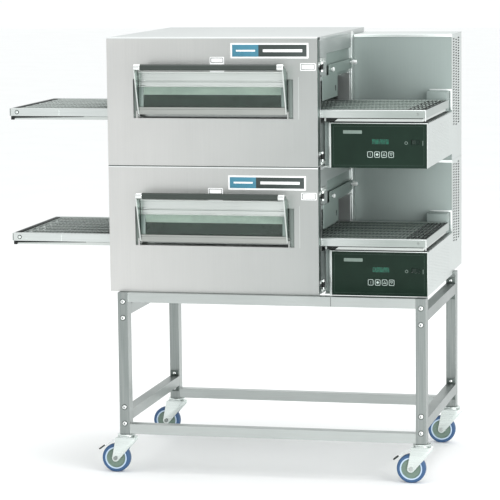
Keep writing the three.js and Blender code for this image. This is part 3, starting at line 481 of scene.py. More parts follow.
def add_screw(bm, axis, at, radius, height, way=1):
    """A domed screw head with its base at a point, rising along an axis."""
    add_turned(bm, axis, flipped(dome(radius, 0, height, height * 0.35), way), at, 20)


# ---------------------------------------------------------------- carried-over CAD nodes

EDGE_ANGLE = 40  # degrees between faces above which an edge is softened


def soften(node, width):
    """Rounds a CAD node's sharp edges by modifiers; the node's own mesh stays as it is."""
    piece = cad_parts[node]
    weld = piece.modifiers.new("weld", "WELD")
    weld.merge_threshold = 0.01 * MM
    bevel = piece.modifiers.new("edges", "BEVEL")
    bevel.width = width * MM
    bevel.segments = 2
    bevel.limit_method = "ANGLE"
    bevel.angle_limit = math.radians(EDGE_ANGLE)
    bevel.use_clamp_overlap = False
    bevel.harden_normals = False


def repaint(node, material):
    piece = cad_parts[node]
    piece.data.materials.clear()
    piece.data.materials.append(LOOKS[material].material)


CARRIED = {  # material and the width of the softened edges
    "casing": ("casing_steel", 0.9),
    "front_door": ("door_steel", 0.9),
    "window_glass": ("tinted_glass", 0.3),
    "exit_baffle": ("baffle_steel", 0.4),
    "conveyor_frame": ("conveyor_steel", 0.6),
    "drive_shaft": ("wire_steel", 0.4),
    "idler_shaft": ("zinc", 0.4),
    "crumb_pan_left": ("rail_steel", 0.5),
    "crumb_pan_right": ("rail_steel", 0.5),
    "air_finger_top": ("dark_steel", 0.5),
    "air_finger_bottom": ("dark_steel", 0.5),
    "blower_wheel": ("zinc", 0.5),
    "control_box": ("vent_steel", 0.5),
    "control_fascia": ("fascia_black", 0.4),
    "power_switch": ("key_grey", 0.5),
}
KEYS = ("key_1", "key_2", "key_3", "key_4")
KEY_EDGE = 0.4
STAND_RAILS = [f"{side}_{level}_rail" for side in ("left", "right") for level in ("upper", "lower")]
STAND_EDGE = 1.1
STAND_PARTS = ("front_frame", "rear_frame", *STAND_RAILS)
DECKS = ("lower_", "upper_")


def carry_nodes():
    rows = [(prefix + node, *look) for prefix in DECKS for node, look in CARRIED.items()]
    rows += [(prefix + key, "key_grey", KEY_EDGE) for prefix in DECKS for key in KEYS]
    rows += [("stand_" + part, "stand_steel", STAND_EDGE) for part in STAND_PARTS]
    for node, material, width in rows:
        repaint(node, material)
        soften(node, width)


carry_nodes()



# ---------------------------------------------------------------- deck frame

CONVEYOR_SETBACK = 60  # of the conveyor's front from the door's face


class Deck:
    """One oven deck. Its own frame has X = 0 at the body's left side, Y = 0 at the door's face and
    Z = 0 at its underside, in millimetres."""

    def __init__(self, prefix):
        self.prefix = prefix
        casing_low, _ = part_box(prefix + "casing")
        conveyor_low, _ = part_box(prefix + "conveyor_frame")
        self.origin = Vector((casing_low.x, conveyor_low.y - CONVEYOR_SETBACK * MM, casing_low.z))
        self.matrix = Matrix.Translation(self.origin) @ Matrix.Scale(MM, 4)

    def box(self, node):
        """A CAD node's limits on each axis, in the deck's own millimetres."""
        return box_mm(self.prefix + node, self.origin)

    def piece(self, name, bm, material, body="frame", slot="casing_steel", replaces=()):
        on = body if body == "frame" else self.prefix + body
        nodes = [self.prefix + n for n in replaces]
        add_piece(self.prefix + name, bm, material, on, nodes, self.matrix)

    def blocks(self, name, blocks, *looks):
        """A piece made of blocks alone: each is its limits on X, Y and Z, and its bevel."""
        bm = bmesh.new()
        for block in blocks:
            add_block(bm, *block)
        self.piece(name, bm, *looks)


# ---------------------------------------------------------------- access window

GRIP_RADIUS = 11
CAP_RADIUS = 11.5
CAP_LENGTH = 24
CAP_PLAY = 0.4  # between a cap and the grip
SIDE_PLATE = 4
FRAME_DEPTH = 10  # of the folded frame behind its side plates' front
FRAME_HEIGHT = 151
GLASS_LAP = 7.6  # of the frame over the glass, at its top and bottom
STILE_LAP = 1.5  # and at its sides
PLATE_SHEET = 2
FLANGE = (1.6, 4.5)  # how far it stands out from a side plate's front edge, and its width
CLIP = (22, 118, 4)  # the spring clips' length, height above the frame's bottom, and thickness


def build_window(deck):
    """The drop-down window: folded frame, triangular side plates, caps and grip."""
    x, y, z = deck.box("window_frame")
    glass_x, _, glass_z = deck.box("window_glass")
    back, front = y[1], y[1] - FRAME_DEPTH
    bottom, top = z[0], z[0] + FRAME_HEIGHT
    sill, bead = grown(glass_z, -GLASS_LAP)
    inner = grown(x, -SIDE_PLATE)
    # Upper panel: retainer bead, flat band, groove, flat band and folded top lip.
    upper = [
        (back, bead), (front - 1.5, bead), (front - 2.5, bead + 1), (front - 2.5, bead + 4),
        (front, bead + 6), (front, bead + 17), (front + 3.5, bead + 18.5),
        (front + 3.5, bead + 21), (front, bead + 22.5), (front, top - 6), (front - 3, top - 4.5),
        (front - 3, top - 0.8), (front - 2.2, top), (back, top),
    ]
    bm = bmesh.new()
    add_prism(bm, "x", upper, inner)
    deck.piece("window_frame_sheet", bm, "rail_steel", "window", "rail_steel", ["window_frame"])
    lower = [
        (back, sill), (back, bottom), (front + 0.8, bottom), (front, bottom + 0.8),
        (front, sill - 4), (front - 2.5, sill - 2.5), (front - 2.5, sill + 3.5),
        (front - 1, sill + 4.5), (front + 2, sill + 4.5), (front + 2, sill),
    ]
    bm = bmesh.new()
    add_prism(bm, "x", lower, inner)
    deck.piece("window_sill", bm, "sill_steel", "window", "rail_steel")
    stile = glass_x[0] + STILE_LAP - x[0]
    limits = ((front + 2.2, back - 0.4), (sill + 0.4, bead - 0.4), 0.5)
    # painted shade: the side frames beside the glass take the darker baffle tone
    stiles = [((inner[0], x[0] + stile), *limits), ((x[1] - stile, inner[1]), *limits)]
    deck.blocks("window_stiles", stiles, "baffle_steel", "window", "rail_steel")
    grip = (y[0] + CAP_RADIUS, z[1] - CAP_RADIUS)
    build_side_plates(deck, x, (front, back), (bottom, top), grip)
    build_grip(deck, x, grip)


def build_side_plates(deck, x, y, z, grip):
    """Thin triangular plates that carry the grip, with a folded flange along their front edge."""
    reach = CAP_RADIUS * 0.7
    outline = [
        (y[0], z[0] + 2), (y[1], z[0]), (y[1], z[1]),
        (grip[0] + reach, grip[1] + reach), (grip[0] - reach, grip[1] + reach * 0.4),
        (grip[0] - reach * 0.8, grip[1] - reach),
    ]
    bm = bmesh.new()
    for span in ((x[0], x[0] + PLATE_SHEET), (x[1] - PLATE_SHEET, x[1])):
        add_prism(bm, "x", outline, span, 0.5)
    deck.piece("window_side_plates", bm, "plate_steel", "window", "rail_steel")
    bm = bmesh.new()
    foot, head = (y[0], z[0] + 2), (grip[0] - reach, grip[1] - reach)
    flange = [foot, (foot[0] - FLANGE[0], foot[1]), (head[0] - FLANGE[0], head[1]), head]
    for span in ((x[0], x[0] + FLANGE[1]), (x[1] - FLANGE[1], x[1])):
        add_prism(bm, "x", flange, span, 0.4)
    length, rise, thickness = CLIP
    for clip_x in (x[0] + 5, x[1] - 5 - length):
        height = (z[0] + rise, z[0] + rise + thickness)
        add_block(bm, (clip_x, clip_x + length), (y[0] - 5, y[0] - 0.2), height, 1.0)
    deck.piece("window_edges", bm, "rail_steel", "window", "rail_steel")


def build_grip(deck, x, grip):
    bm = bmesh.new()
    for low, high in ((x[0], x[0] + CAP_LENGTH), (x[1] - CAP_LENGTH, x[1])):
        add_turned(bm, "x", rounded_bar(CAP_RADIUS, low, high, 2.0), (0, *grip), 40)
    deck.piece("window_grip_caps", bm, "chrome", "window", "zinc")
    bm = bmesh.new()
    low, high = grown(x, -CAP_LENGTH - CAP_PLAY)
    add_turned(bm, "x", rounded_bar(GRIP_RADIUS, low, high, 0.8), (0, *grip), 48)
    deck.piece("window_grip", bm, "grip_black", "window", "grip_black", ["window_handle"])


REFLECTION_STRIP = 36  # height of the painted reflection strip along the top of the painted shade behind the glass
PANE = (0.1, 0.35)  # behind the glass


def build_glass_backing(deck):
    """Painted shade and painted reflection behind the window's glass: a dark green sheet for the shaded
    inside below, and a light strip of painted reflection along its top.
    """
    x, y, z = deck.box("window_glass")
    split = z[1] - REFLECTION_STRIP
    # a strip of painted reflection at the top, painted shade below it
    for name, height, material in (
        ("window_painted_reflection", (split, z[1] - 2), "pane_light"),
        ("window_painted_shade", (z[0] + 2, split - 0.2), "pane_green"),
    ):
        pane = (grown(x, -2), (y[1] + PANE[0], y[1] + PANE[1]), height)
        deck.blocks(name, [pane], material, "window", "tinted_glass")


# ---------------------------------------------------------------- labels and details on the door

DOOR_EDGE = 768  # the door's right edge, which is the casing's right wall too
OPENING_X = (97, 680)  # of the door's window opening
OPENING_Z = (170, 309)
SEAM = 2.6  # height of the shadow line under the upper deck

NAME_PLATE = {"lower_": ((442, 724), (374, 425)), "upper_": ((456, 737), (383, 437))}
PLATE_BORDER = 6
PLATE_SPLIT = 0.36  # the blue field's share of the plate's length
STICKER = {"lower_": ((368, 422), (355, 379)), "upper_": ((380, 432), (365, 388))}
STICKER_TAIL = 318  # where the small sticker's sheet ends, behind the window's grip
CAUTION_STICKER = ((707, 762), (340, 366))


def build_name_plate(deck):
    """A blank name plate: a white border round two enamelled fields, with a plain bar on each."""
    plate_x, plate_z = NAME_PLATE[deck.prefix]
    bm = bmesh.new()
    add_prism(bm, "y", rounded_outline(plate_x, plate_z, 2), (-1.0, -0.05), 0.25)
    deck.piece("name_plate", bm, "label_white", "front_door", "door_steel")
    split = plate_x[0] + PLATE_SPLIT * (plate_x[1] - plate_x[0])
    field_x, field_z = grown(plate_x, -PLATE_BORDER), grown(plate_z, -PLATE_BORDER)
    for colour, span in (("blue", (field_x[0], split)), ("black", (split, field_x[1]))):
        field = (span, (-1.5, -0.8), field_z, 0.15)
        deck.blocks("name_plate_" + colour, [field], "plate_" + colour, "front_door", "fascia_black")
    centre = middle(plate_z)
    bars = [
        ((plate_x[0] + 20, split - 12), (-1.7, -1.4), (centre - 3, centre + 3), 0.1),
        ((split + 16, plate_x[1] - 22), (-1.7, -1.4), (centre - 5, centre + 5), 0.1),
    ]
    deck.blocks("name_plate_bars", bars, "label_white", "front_door", "fascia_black")


def build_stickers(deck):
    """Two blank stickers, each with a thin printed border."""
    small_x, small_z = STICKER[deck.prefix]
    bm = bmesh.new()
    add_prism(bm, "y", rounded_outline(small_x, (STICKER_TAIL, small_z[1]), 3), (-0.5, -0.05), 0.15)
    add_prism(bm, "y", rounded_outline(*CAUTION_STICKER, 2), (-0.5, -0.05), 0.15)
    deck.piece("stickers", bm, "label_white", "front_door", "door_steel")
    bm = bmesh.new()
    for x, z in ((small_x, small_z), CAUTION_STICKER):
        outer = rounded_outline(grown(x, -3), grown(z, -3), 2.5)
        inner = rounded_outline(grown(x, -5), grown(z, -5), 1.5)
        add_frame_plate(bm, "y", outer, inner, (-0.62, -0.4))
    deck.piece("sticker_borders", bm, "plate_black", "front_door", "door_steel")


def build_door_details(deck):
    """Painted highlight along the folded top edge, a painted shadow line under the upper deck, painted
    shade on the reveal strips beside the window, and a fine light line right of the window.
    """
    top = deck.box("front_door")[2][1]
    lip = top - SEAM if deck.prefix == "lower_" else top + 0.3
    # painted highlight: bright strips along the door's top edge and down its face just under it
    edge = [
        ((0.6, DOOR_EDGE - 0.6), (0.4, 39.4), (top - 0.1, top + 0.3), 0.12),
        ((0.8, DOOR_EDGE - 0.8), (-0.5, 0.3), (lip - 3.5, lip), 0.2),
    ]
    deck.blocks("door_top_highlight", edge, "trim_steel", "front_door", "door_steel")
    # painted shadow: a dark line where the lower deck meets the upper one
    if deck.prefix == "lower_":
        seam = ((0.8, DOOR_EDGE - 0.8), (-0.3, 0.3), (lip + 0.1, top + 0.2), 0.1)
        deck.blocks("deck_shadow_line", [seam], "tab_steel", "front_door", "dark_steel")
    frame_x = deck.box("window_frame")[0]
    # painted shade: darker strips on the sides of the window opening
    sides = ((OPENING_X[0] + 0.3, frame_x[0] - 0.8), (frame_x[1] + 0.8, OPENING_X[1] - 0.3))
    reveals = [(side, (6, 7.2), grown(OPENING_Z, -0.3), 0.3) for side in sides]
    deck.blocks("window_reveals", reveals, "gap_steel", "front_door", "door_steel")
    line = ((699.5, 701.0), (-0.35, 0.1), (168, 318), 0.1)
    deck.blocks("door_line", [line], "rail_steel", "front_door", "door_steel")


# ---------------------------------------------------------------- door edge, hinges and baffle

HINGE_AXIS = (775, 42.5)
BARREL = (5.8, 17.6)  # radius and length
# radius of the dark rings of painted shade round the hinges' joints
HINGE_SHADE_RADIUS = 6.3
HINGE_ROLLS = {  # body, undersides of its rolls, and the screws of its leaves along Y
    "hinge_barrels": ("frame", (16, 333), (48, 72)),
    "hinge_knuckles": ("front_door", (34, 351), (13, 30)),
}
# dark rings of painted shade round the hinge axis, where barrels and knuckles meet
HINGE_SHADES = {
    "hinge_shade_low": ("frame", ((24, 33.7), (341, 350.7))),
    "hinge_shade_high": ("front_door", ((34, 44), (351, 361))),
}
BRACKETS_Z = ((2, 15.2), (352, 380))
BRACKET_FOOT = (50, 77)  # on the casing, in front of the baffle
BRACKET_PLATE = (50.5, 124)  # bridges the way of the raised baffle
DISC = (88, 8.5)  # its place along Y and largest radius
POCKET = ((165.6, 644.4), (300.4, 391.4))  # behind the baffle, along Y and Z
THUMBSCREWS = ((233, 332, 13), (608, 338, 25))  # places along Y and Z, and length
KEYHOLE = (320, 264)


def add_thumbscrew(bm, at, length):
    """A knurled thumbscrew standing out along +X."""
    knurls, radius = 18, 7.0
    add_turned(bm, "x", rounded_bar(4.5, 0, 5.5, 0.5), at, 20)
    add_turned(bm, "x", rounded_bar(radius, 5, length, 1.6), at, 28)
    for y, z in arc(at[1:], radius, 0, 360 * (1 - 1 / knurls), knurls - 1):
        add_turned(bm, "x", rounded_bar(0.9, 6, length - 2, 0.4), (at[0], y, z), 6)


def build_door_edge(deck):
    """Painted shadow on the door's right side: a dark strip over the sheet's folded edge, and darker
    lines along its front and back and at its top corner.
    """
    edge = DOOR_EDGE
    # painted shadow: the door's side edge in shade
    strip = ((edge - 0.4, edge + 0.25), (1.0, 39.6), (3, 453), 0.1)
    deck.blocks("door_side_shadow", [strip], "dark_steel", "front_door", "dark_steel")
    # painted shadow: darker lines at the edge's front, back and top corner
    face = (edge - 0.2, edge + 0.6)
    shade_lines = [(face, strip_y, (4, 452), 0.2) for strip_y in ((1.2, 7.0), (30.0, 39.4))]
    shade_lines.append(((edge - 4, edge + 2.0), (26.0, 39.0), (446, 455.5), 0.8))
    deck.blocks("door_edge_shadow_lines", shade_lines, "black_rubber", "front_door", "grip_black")


def build_hinges(deck):
    """Lift-off hinges: barrels on the casing, knuckles on the door, dark rings of painted shade at their
    joints, and brackets.
    """
    radius, length = BARREL
    for part, (body, levels, screws_y) in HINGE_ROLLS.items():
        bm = bmesh.new()
        for level in levels:
            add_turned(bm, "z", rounded_bar(radius, level, level + length, 0.8), (*HINGE_AXIS, 0), 28)
            for screw_y in screws_y:
                add_screw(bm, "x", (DOOR_EDGE + 2.5, screw_y, level + length / 2), 3.6, 2.2)
        deck.piece(part, bm, "zinc", body, "zinc")
    # painted shade at the hinge joints
    for part, (body, levels) in HINGE_SHADES.items():
        bm = bmesh.new()
        for level in levels:
            add_turned(bm, "z", rounded_bar(HINGE_SHADE_RADIUS, *level, 0.5), (*HINGE_AXIS, 0), 28)
        deck.piece(part, bm, "black_rubber", body, "grip_black")
    wall = DOOR_EDGE
    bm = bmesh.new()
    for level in BRACKETS_Z:
        add_block(bm, (wall + 0.1, wall + 3.4), BRACKET_FOOT, level, 0.5)
        add_block(bm, (wall + 2.8, wall + 4.4), BRACKET_PLATE, grown(level, -0.3), 0.5)
        centre = middle(level)
        radius = min(DISC[1], centre - level[0] - 1.4)
        add_turned(bm, "x", rounded_bar(radius, wall + 4.2, wall + 6.2, 0.8), (0, DISC[0], centre), 28)
        for bolt_y in (62, 113):
            add_screw(bm, "x", (wall + 4.3, bolt_y, centre), 3.4, 2.2)
    add_block(bm, (wall + 1.5, 797), (104, 138), (-10, -4), 0.8)
    deck.piece("hinge_brackets", bm, "rail_steel", "frame", "zinc")


def build_side_wall(deck):
    """Fillers beside the control box, a painted shade plate in the baffle's pocket, the rear strip, all
    the screws and the keyhole's painted shade.
    """
    wall = DOOR_EDGE
    fillers = [
        ((770.2, 786.5), (112, 113.2), (-8, 152), 0.3),
        ((786.6, 788.8), (97, 99), (-8, 152), 0.3),
    ]
    deck.blocks("gap_filler", fillers, "housing_steel", "frame", "dark_steel")
    # painted shade: a dark plate at the back of the baffle's pocket
    pocket = ((wall - 7.9, wall - 7.3), *POCKET, 0.2)
    deck.blocks("pocket_plate", [pocket], "baffle_steel", "frame", "dark_steel")
    strip = ((wall + 0.1, wall + 1.6), (646, 688), (2, 452), 0.5)
    deck.blocks("casing_rear_strip", [strip], "trim_steel")
    bm = bmesh.new()
    for screw_z in (318, 296):
        add_screw(bm, "x", (wall + 0.2, 60, screw_z), 3.2, 2.4)
    deck.piece("side_screws", bm, "black_rubber", "frame", "grip_black")
    bm = bmesh.new()
    for screw_y, screw_z, length in THUMBSCREWS:
        add_thumbscrew(bm, (wall + 3.2, screw_y, screw_z), length)
    deck.piece("thumbscrews", bm, "screw_steel", "frame", "zinc")
    bm = bmesh.new()
    # the keyhole in painted shade: a dark shape standing proud of the baffle where its opening is
    y, z = KEYHOLE
    add_turned(bm, "x", rounded_bar(6.5, wall + 2.0, wall + 3.2, 0.3), (0, y, z), 20)
    add_block(bm, (wall + 2.0, wall + 3.0), (y - 4, y + 4), (z - 14, z), 0.3)
    deck.piece("baffle_keyhole", bm, "black_rubber", "exit_baffle", "grip_black")


# ---------------------------------------------------------------- conveyor

WIRE_RADIUS = 1.5
STRAND_PITCH = 14.0
STRAND_CELL = 80.0  # across the belt, from one hook to the next
HOOK_WIDTH = 16.0
SHAFT_INSET = 28  # of the shafts from the conveyor's ends


def loop_point(s, height, ends, radius, centre_z):
    """The place and outward way at a distance s along the belt's loop, height above its middle."""
    straight = ends[1] - ends[0]
    turn = math.pi * radius
    s = s % (2 * straight + 2 * turn)
    if s < straight:
        return ends[0] + s, centre_z + radius + height
    if s < straight + turn:
        a = math.pi / 2 - (s - straight) / radius
        return ends[1] + (radius + height) * math.cos(a), centre_z + (radius + height) * math.sin(a)
    if s < 2 * straight + turn:
        return ends[1] - (s - straight - turn), centre_z - radius - height
    a = -math.pi / 2 - (s - 2 * straight - turn) / radius
    return ends[0] + (radius + height) * math.cos(a), centre_z + (radius + height) * math.sin(a)


def add_wire(vertices, faces, points, radius):
    """A four-sided wire along a line of points, with square ends."""
    points = np.array(points)
    ways = np.gradient(points, axis=0)
    ways /= np.linalg.norm(ways, axis=1)[:, None]
    up = np.array((0.31, 0.17, 1.0))
    first = np.cross(ways, up)
    first /= np.linalg.norm(first, axis=1)[:, None]
    second = np.cross(ways, first)
    start = len(vertices)
    for i, p in enumerate(points):
        for a, b in ((1, 0), (0, 1), (-1, 0), (0, -1)):
            vertices.append(tuple(p + radius * (a * first[i] + b * second[i])))
        if i:
            base = start + 4 * i
            for k in range(4):
                n = (k + 1) % 4
                faces.append((base - 4 + k, base - 4 + n, base + n, base + k))
    last = len(vertices) - 4
    faces.append((start + 3, start + 2, start + 1, start))
    faces.append((last, last + 1, last + 2, last + 3))


def build_belt(deck):
    """Woven wire belt: each strand runs across and hooks round the one before it."""
    x, y, z = deck.box("conveyor_belt")
    centre_z = (z[0] + z[1]) / 2
    outer = (z[1] - z[0]) / 2
    radius = outer - 2.2
    ends = (x[0] + outer, x[1] - outer)
    length = 2 * (ends[1] - ends[0]) + 2 * math.pi * radius
    count = round(length / STRAND_PITCH)
    pitch = length / count
    cells = int((y[1] - y[0] - HOOK_WIDTH) // STRAND_CELL)
    margin = (y[1] - y[0] - cells * STRAND_CELL) / 2
    vertices, faces = [], []
    for strand in range(count):
        s = strand * pitch
        points = []
        for cell in range(cells + 1):
            hook = y[0] + margin + cell * STRAND_CELL
            for across, back, height in (
                (-HOOK_WIDTH / 2 - 1, 0, 0.9),
                (-HOOK_WIDTH / 2, 0.25, 0.9),
                (-HOOK_WIDTH / 2 + 1, 1.0, -0.9),
                (HOOK_WIDTH / 2 - 1, 1.12, -0.9),
                (HOOK_WIDTH / 2, 0.25, 0.9),
                (HOOK_WIDTH / 2 + 1, 0, 0.9),
            ):
                place_x, place_z = loop_point(s - back * pitch, height, ends, radius, centre_z)
                points.append((place_x, min(max(hook + across, y[0] + 1.2), y[1] - 1.2), place_z))
        add_wire(vertices, faces, points, WIRE_RADIUS)
    mesh = bpy.data.meshes.new("belt")
    mesh.from_pydata(vertices, [], faces)
    bm = bmesh.new()
    bm.from_mesh(mesh)
    bpy.data.meshes.remove(mesh)
    deck.piece("wire_belt", bm, "belt_steel", "frame", "wire_steel", ["conveyor_belt"])


def build_conveyor_details(deck):
    """Bearing bolts, a seam, feet and painted highlights along the conveyor frame's edges."""
    x, y, z = deck.box("conveyor_frame")
    bm = bmesh.new()
    left, right = grown(x, -SHAFT_INSET)
    for shaft_x, face, way in ((left, y[0], -1), (left, y[1], 1), (right, y[1], 1)):
        at = (shaft_x, face + way * 1.2, middle(z))
        add_turned(bm, "y", flipped(dome(5.2, 0, 3.0, 1.0), way), at, 24)
    add_block(bm, (x[0] + 186, x[0] + 189), (y[0] - 0.8, y[0] + 0.5), grown(z, -2), 0.3)
    deck.piece("conveyor_bolts", bm, "zinc", "frame", "zinc")
    feet = [
        ((x[0] + 4, x[0] + 16), (foot_y, foot_y + 20), (z[0] - 14, z[0] - 0.2), 1.5)
        for foot_y in (y[0] + 4, y[1] - 24)
    ]
    deck.blocks("conveyor_feet", feet, "black_rubber", "frame", "grip_black")
    build_conveyor_gaps(deck, x, y, z)
    wall = deck.box("casing")[0][1]
    # painted highlight: bright strips down the frame's right end and along its top front edge
    edges = [
        ((x[1] - 1.2, x[1] + 0.7), (y[0] - 0.7, y[0] + 5), (z[0] - 11, z[1] + 0.5), 0.3),
        ((wall + 6, x[1] - 1), (y[0] - 0.6, y[0] + 1.4), (z[1] - 1.6, z[1] + 0.5), 0.3),
    ]
    deck.blocks("conveyor_edge_highlights", edges, "trim_steel", "frame", "rail_steel")
    build_belt_rungs(deck, x, y, z)


def build_conveyor_gaps(deck, x, y, z):
    """Painted shadow strips in the gaps at the conveyor's ends, under its rails and over the control
    box, and a dark ring round its left bolt.
    """
    bm = bmesh.new()
    rings = [arc((x[0] + SHAFT_INSET, middle(z)), radius, 0, 345, 23) for radius in (7.6, 5.4)]
    add_frame_plate(bm, "y", *rings, (y[0] - 0.5, y[0] + 0.2))
    add_block(bm, (x[0] + 2.6, x[0] + 4.2), (y[0] - 0.5, y[0] + 0.2), grown(z, -1.5), 0.2)
    # painted shadow: dark strips at the belt's two ends
    for end_shadow_x in ((x[0] + 2.6, x[0] + 19), (x[1] - 14, x[1] - 3)):
        add_block(bm, end_shadow_x, grown(y, -22), (z[1] - 4, z[1] - 1), 0.8)
    wall = deck.box("casing")[0][1]
    # painted shadow in the gaps under the rails, and over the control box
    top = z[0] - 0.2
    left_gap = [(x[0] + 4, top - 8), (-110, top - 3), (-110, top), (x[0] + 4, top)]
    right_gap = [
        (wall + 4, top - 13), (wall + 34, top - 13), (wall + 46, top - 3.2), (x[1] - 10, top - 3.2),
        (x[1] - 10, top), (wall + 4, top),
    ]
    for outline in (left_gap, right_gap):
        add_prism(bm, "y", outline, (y[0] + 8.8, y[0] + 9.7), 0.2)
    box_x, box_y, box_z = deck.box("control_box")
    add_block(bm, grown(box_x, -2), (box_y[0] + 6, box_y[0] + 7), (box_z[1] + 0.2, box_z[1] + 8.6), 0.2)
    deck.piece("conveyor_gap_shadows", bm, "black_rubber", "frame", "grip_black")


RUNG_PITCH, RUNG_WIDTH, RUNG_COUNT = 15, 8, 4


def build_belt_rungs(deck, x, y, z):
    """Cross bars of the belt's support under its last stretch, dark against the bright wires."""
    ends = (x[1] - 24 - RUNG_PITCH * i for i in range(RUNG_COUNT))
    rungs = [((end - RUNG_WIDTH, end), grown(y, -27), (z[1] - 4.6, z[1] - 1.9), 0.6) for end in ends]
    deck.blocks("belt_rungs", rungs, "black_rubber", "frame", "grip_black")


# ---------------------------------------------------------------- machine housing

VENT_PITCH = (60.0, 10.0)  # along Y and Z
VENT_HALF = (17.0, 3.1)  # half a slot's length and height
VENT_MARGIN = 16  # before the first column
VENT_SHARE = 0.72  # of the panel's height
VENT_DROP = 18  # of the first row below the panel's top
HOUSING_SHEET = 2


def add_vent_strip(bm, at_x, middle_y, z, rows, first_row):
    """A vertical strip of sheet facing +X with a column of round-ended slots through it."""
    half_y, half_z = VENT_PITCH[0] / 2, VENT_PITCH[1] / 2
    back_x = at_x - HOUSING_SHEET
    across = (middle_y - half_y, middle_y + half_y)
    add_block(bm, (back_x, at_x), across, (first_row + half_z, z[1]))
    add_block(bm, (back_x, at_x), across, (z[0], first_row - (rows - 0.5) * VENT_PITCH[1]))
    border = [(1, -1), (1, 0), (1, 1), (0, 1), (-1, 1), (-1, 0), (-1, -1), (0, -1)]
    slot = [(1, -0.6), (1.1, 0), (1, 0.6), (0, 1), (-1, 0.6), (-1.1, 0), (-1, -0.6), (0, -1)]
    for row in range(rows):
        middle_z = first_row - row * VENT_PITCH[1]
        outer = [(middle_y + a * half_y, middle_z + b * half_z) for a, b in border]
        inner = [(middle_y + a * VENT_HALF[0], middle_z + b * VENT_HALF[1]) for a, b in slot]
        loops = [
            [bm.verts.new((level, a, b)) for a, b in line]
            for line, level in ((outer, at_x), (inner, at_x), (inner, back_x))
        ]
        for low, high in zip(loops, loops[1:]):
            bridge(bm, low, high)


def build_vent_panel(deck, x, y, z):
    """The housing's right side: staggered columns of slots over a plain lower part."""
    columns = int((y[1] - y[0] - 1.5 * VENT_MARGIN) / VENT_PITCH[0])
    field = (y[0] + VENT_MARGIN, y[0] + VENT_MARGIN + columns * VENT_PITCH[0])
    bm = bmesh.new()
    for edge in ((y[0], field[0]), (field[1], y[1])):
        add_block(bm, (x[1] - HOUSING_SHEET, x[1]), edge, z)
    rows = int((z[1] - z[0]) * VENT_SHARE / VENT_PITCH[1])
    for column in range(columns):
        middle_y = field[0] + (column + 0.5) * VENT_PITCH[0]
        stagger = VENT_PITCH[1] / 2 * (column % 2)
        add_vent_strip(bm, x[1], middle_y, z, rows, z[1] - VENT_DROP - stagger)
    deck.piece("housing_vent_panel", bm, "vent_steel")
    # painted shade: a dark sheet just inside the panel, seen through its slots
    inside = (x[1] - HOUSING_SHEET - 4, x[1] - HOUSING_SHEET - 3)
    shade_sheet = (inside, grown(y, -6), grown(z, -6), 0.3)
    deck.blocks("housing_vent_shade", [shade_sheet], "black_rubber", "frame", "dark_steel")


def build_housing(deck):
    """Machinery housing as folded sheet, with its lid, vent panel and drive cover."""
    x, y, z = deck.box("machine_housing")
    y = (deck.box("control_box")[1][1] + 0.4, y[1])
    sheet = HOUSING_SHEET
    within = grown(y, -sheet)
    right = x[1] - sheet - 0.1
    shell = [
        ((x[0], right), (y[0], y[0] + sheet), (z[0], z[1] - 0.2), 0.5),
        ((x[0], right), (y[1] - sheet, y[1]), z, 0.5),
        ((x[0], x[0] + sheet), within, z, 0.5),
        ((x[0] + sheet, right), within, (z[0], z[0] + sheet), 0.5),
    ]
    deck.blocks("housing_shell", shell, "housing_steel", "frame", "housing_steel", ["machine_housing"])
    bm = bmesh.new()
    lid = [
        (y[0] - 1.6, z[1] - 10), (y[0] - 0.1, z[1] - 10), (y[0] - 0.1, z[1] - 1.6),
        (y[1], z[1] - 1.6), (y[1], z[1]), (y[0] - 0.8, z[1]), (y[0] - 1.6, z[1] - 0.8),
    ]
    add_prism(bm, "x", lid, (x[0] + 3, x[1]), 0.3)
    for bolt_x in grown(x, -40):
        for level in (z[0] + 30, z[1] - 40):
            add_screw(bm, "y", (bolt_x, y[1] - 0.2, level), 3.6, 0.15)
    deck.piece("housing_lid", bm, "vent_steel")
    build_vent_panel(deck, x, y, (z[0], z[1] - 1.8))
    build_drive_cover(deck, y[0])


def build_drive_cover(deck, housing_front):
    """Folded cover over the end of the drive shaft, with a light flange round its top and side."""
    conveyor_x, conveyor_y, conveyor_z = deck.box("conveyor_frame")
    x = (conveyor_x[1] - 84, conveyor_x[1] - 9)
    y = (conveyor_y[1] + 6, housing_front - 0.3)
    z = (conveyor_z[0] - 16, conveyor_z[1] + 28)
    sheet = HOUSING_SHEET
    cover = [
        (x, (y[0], y[0] + sheet), z, 0.6),
        ((x[0], x[0] + sheet), (y[0] + sheet, y[1]), z, 0.6),
        ((x[1] - sheet, x[1]), (y[0] + sheet, y[1]), z, 0.6),
        (x, y, (z[1] - 0.6, z[1] + 1.2), 0.5),
    ]
    deck.blocks("drive_cover", cover, "housing_steel", "frame", "housing_steel")
    flange_y = (y[1] - 2.4, y[1])
    flange = [
        ((x[0] - 0.5, x[1] + 8), flange_y, (z[1] + 0.4, z[1] + 7), 0.6),
        ((x[1] + 1.5, x[1] + 8), flange_y, z, 0.5),
    ]
    deck.blocks("drive_cover_flange", flange, "trim_steel")


# ---------------------------------------------------------------- control box

EMBOSS_PITCH = (70.0, 11.0)  # along Y and Z
EMBOSS_HALF = (17.0, 3.2)  # half a stud's length and height
EMBOSS_START = (45, 22)  # the first stud's place from the box's front and bottom
STUD_HEIGHT = 1.3


def add_stud(bm, x, y, z):
    """A long shallow diamond raised towards +X."""
    ways = ((-1, 0), (0, -1), (1, 0), (0, 1))
    low = [bm.verts.new((x, y + a * EMBOSS_HALF[0], z + b * EMBOSS_HALF[1])) for a, b in ways]
    half = (0.4 * EMBOSS_HALF[0], 0.3 * EMBOSS_HALF[1])
    high = [bm.verts.new((x + STUD_HEIGHT, y + a * half[0], z + b * half[1])) for a, b in ways]
    bridge(bm, low, high)
    bm.faces.new(high)
    bm.faces.new(low[::-1])


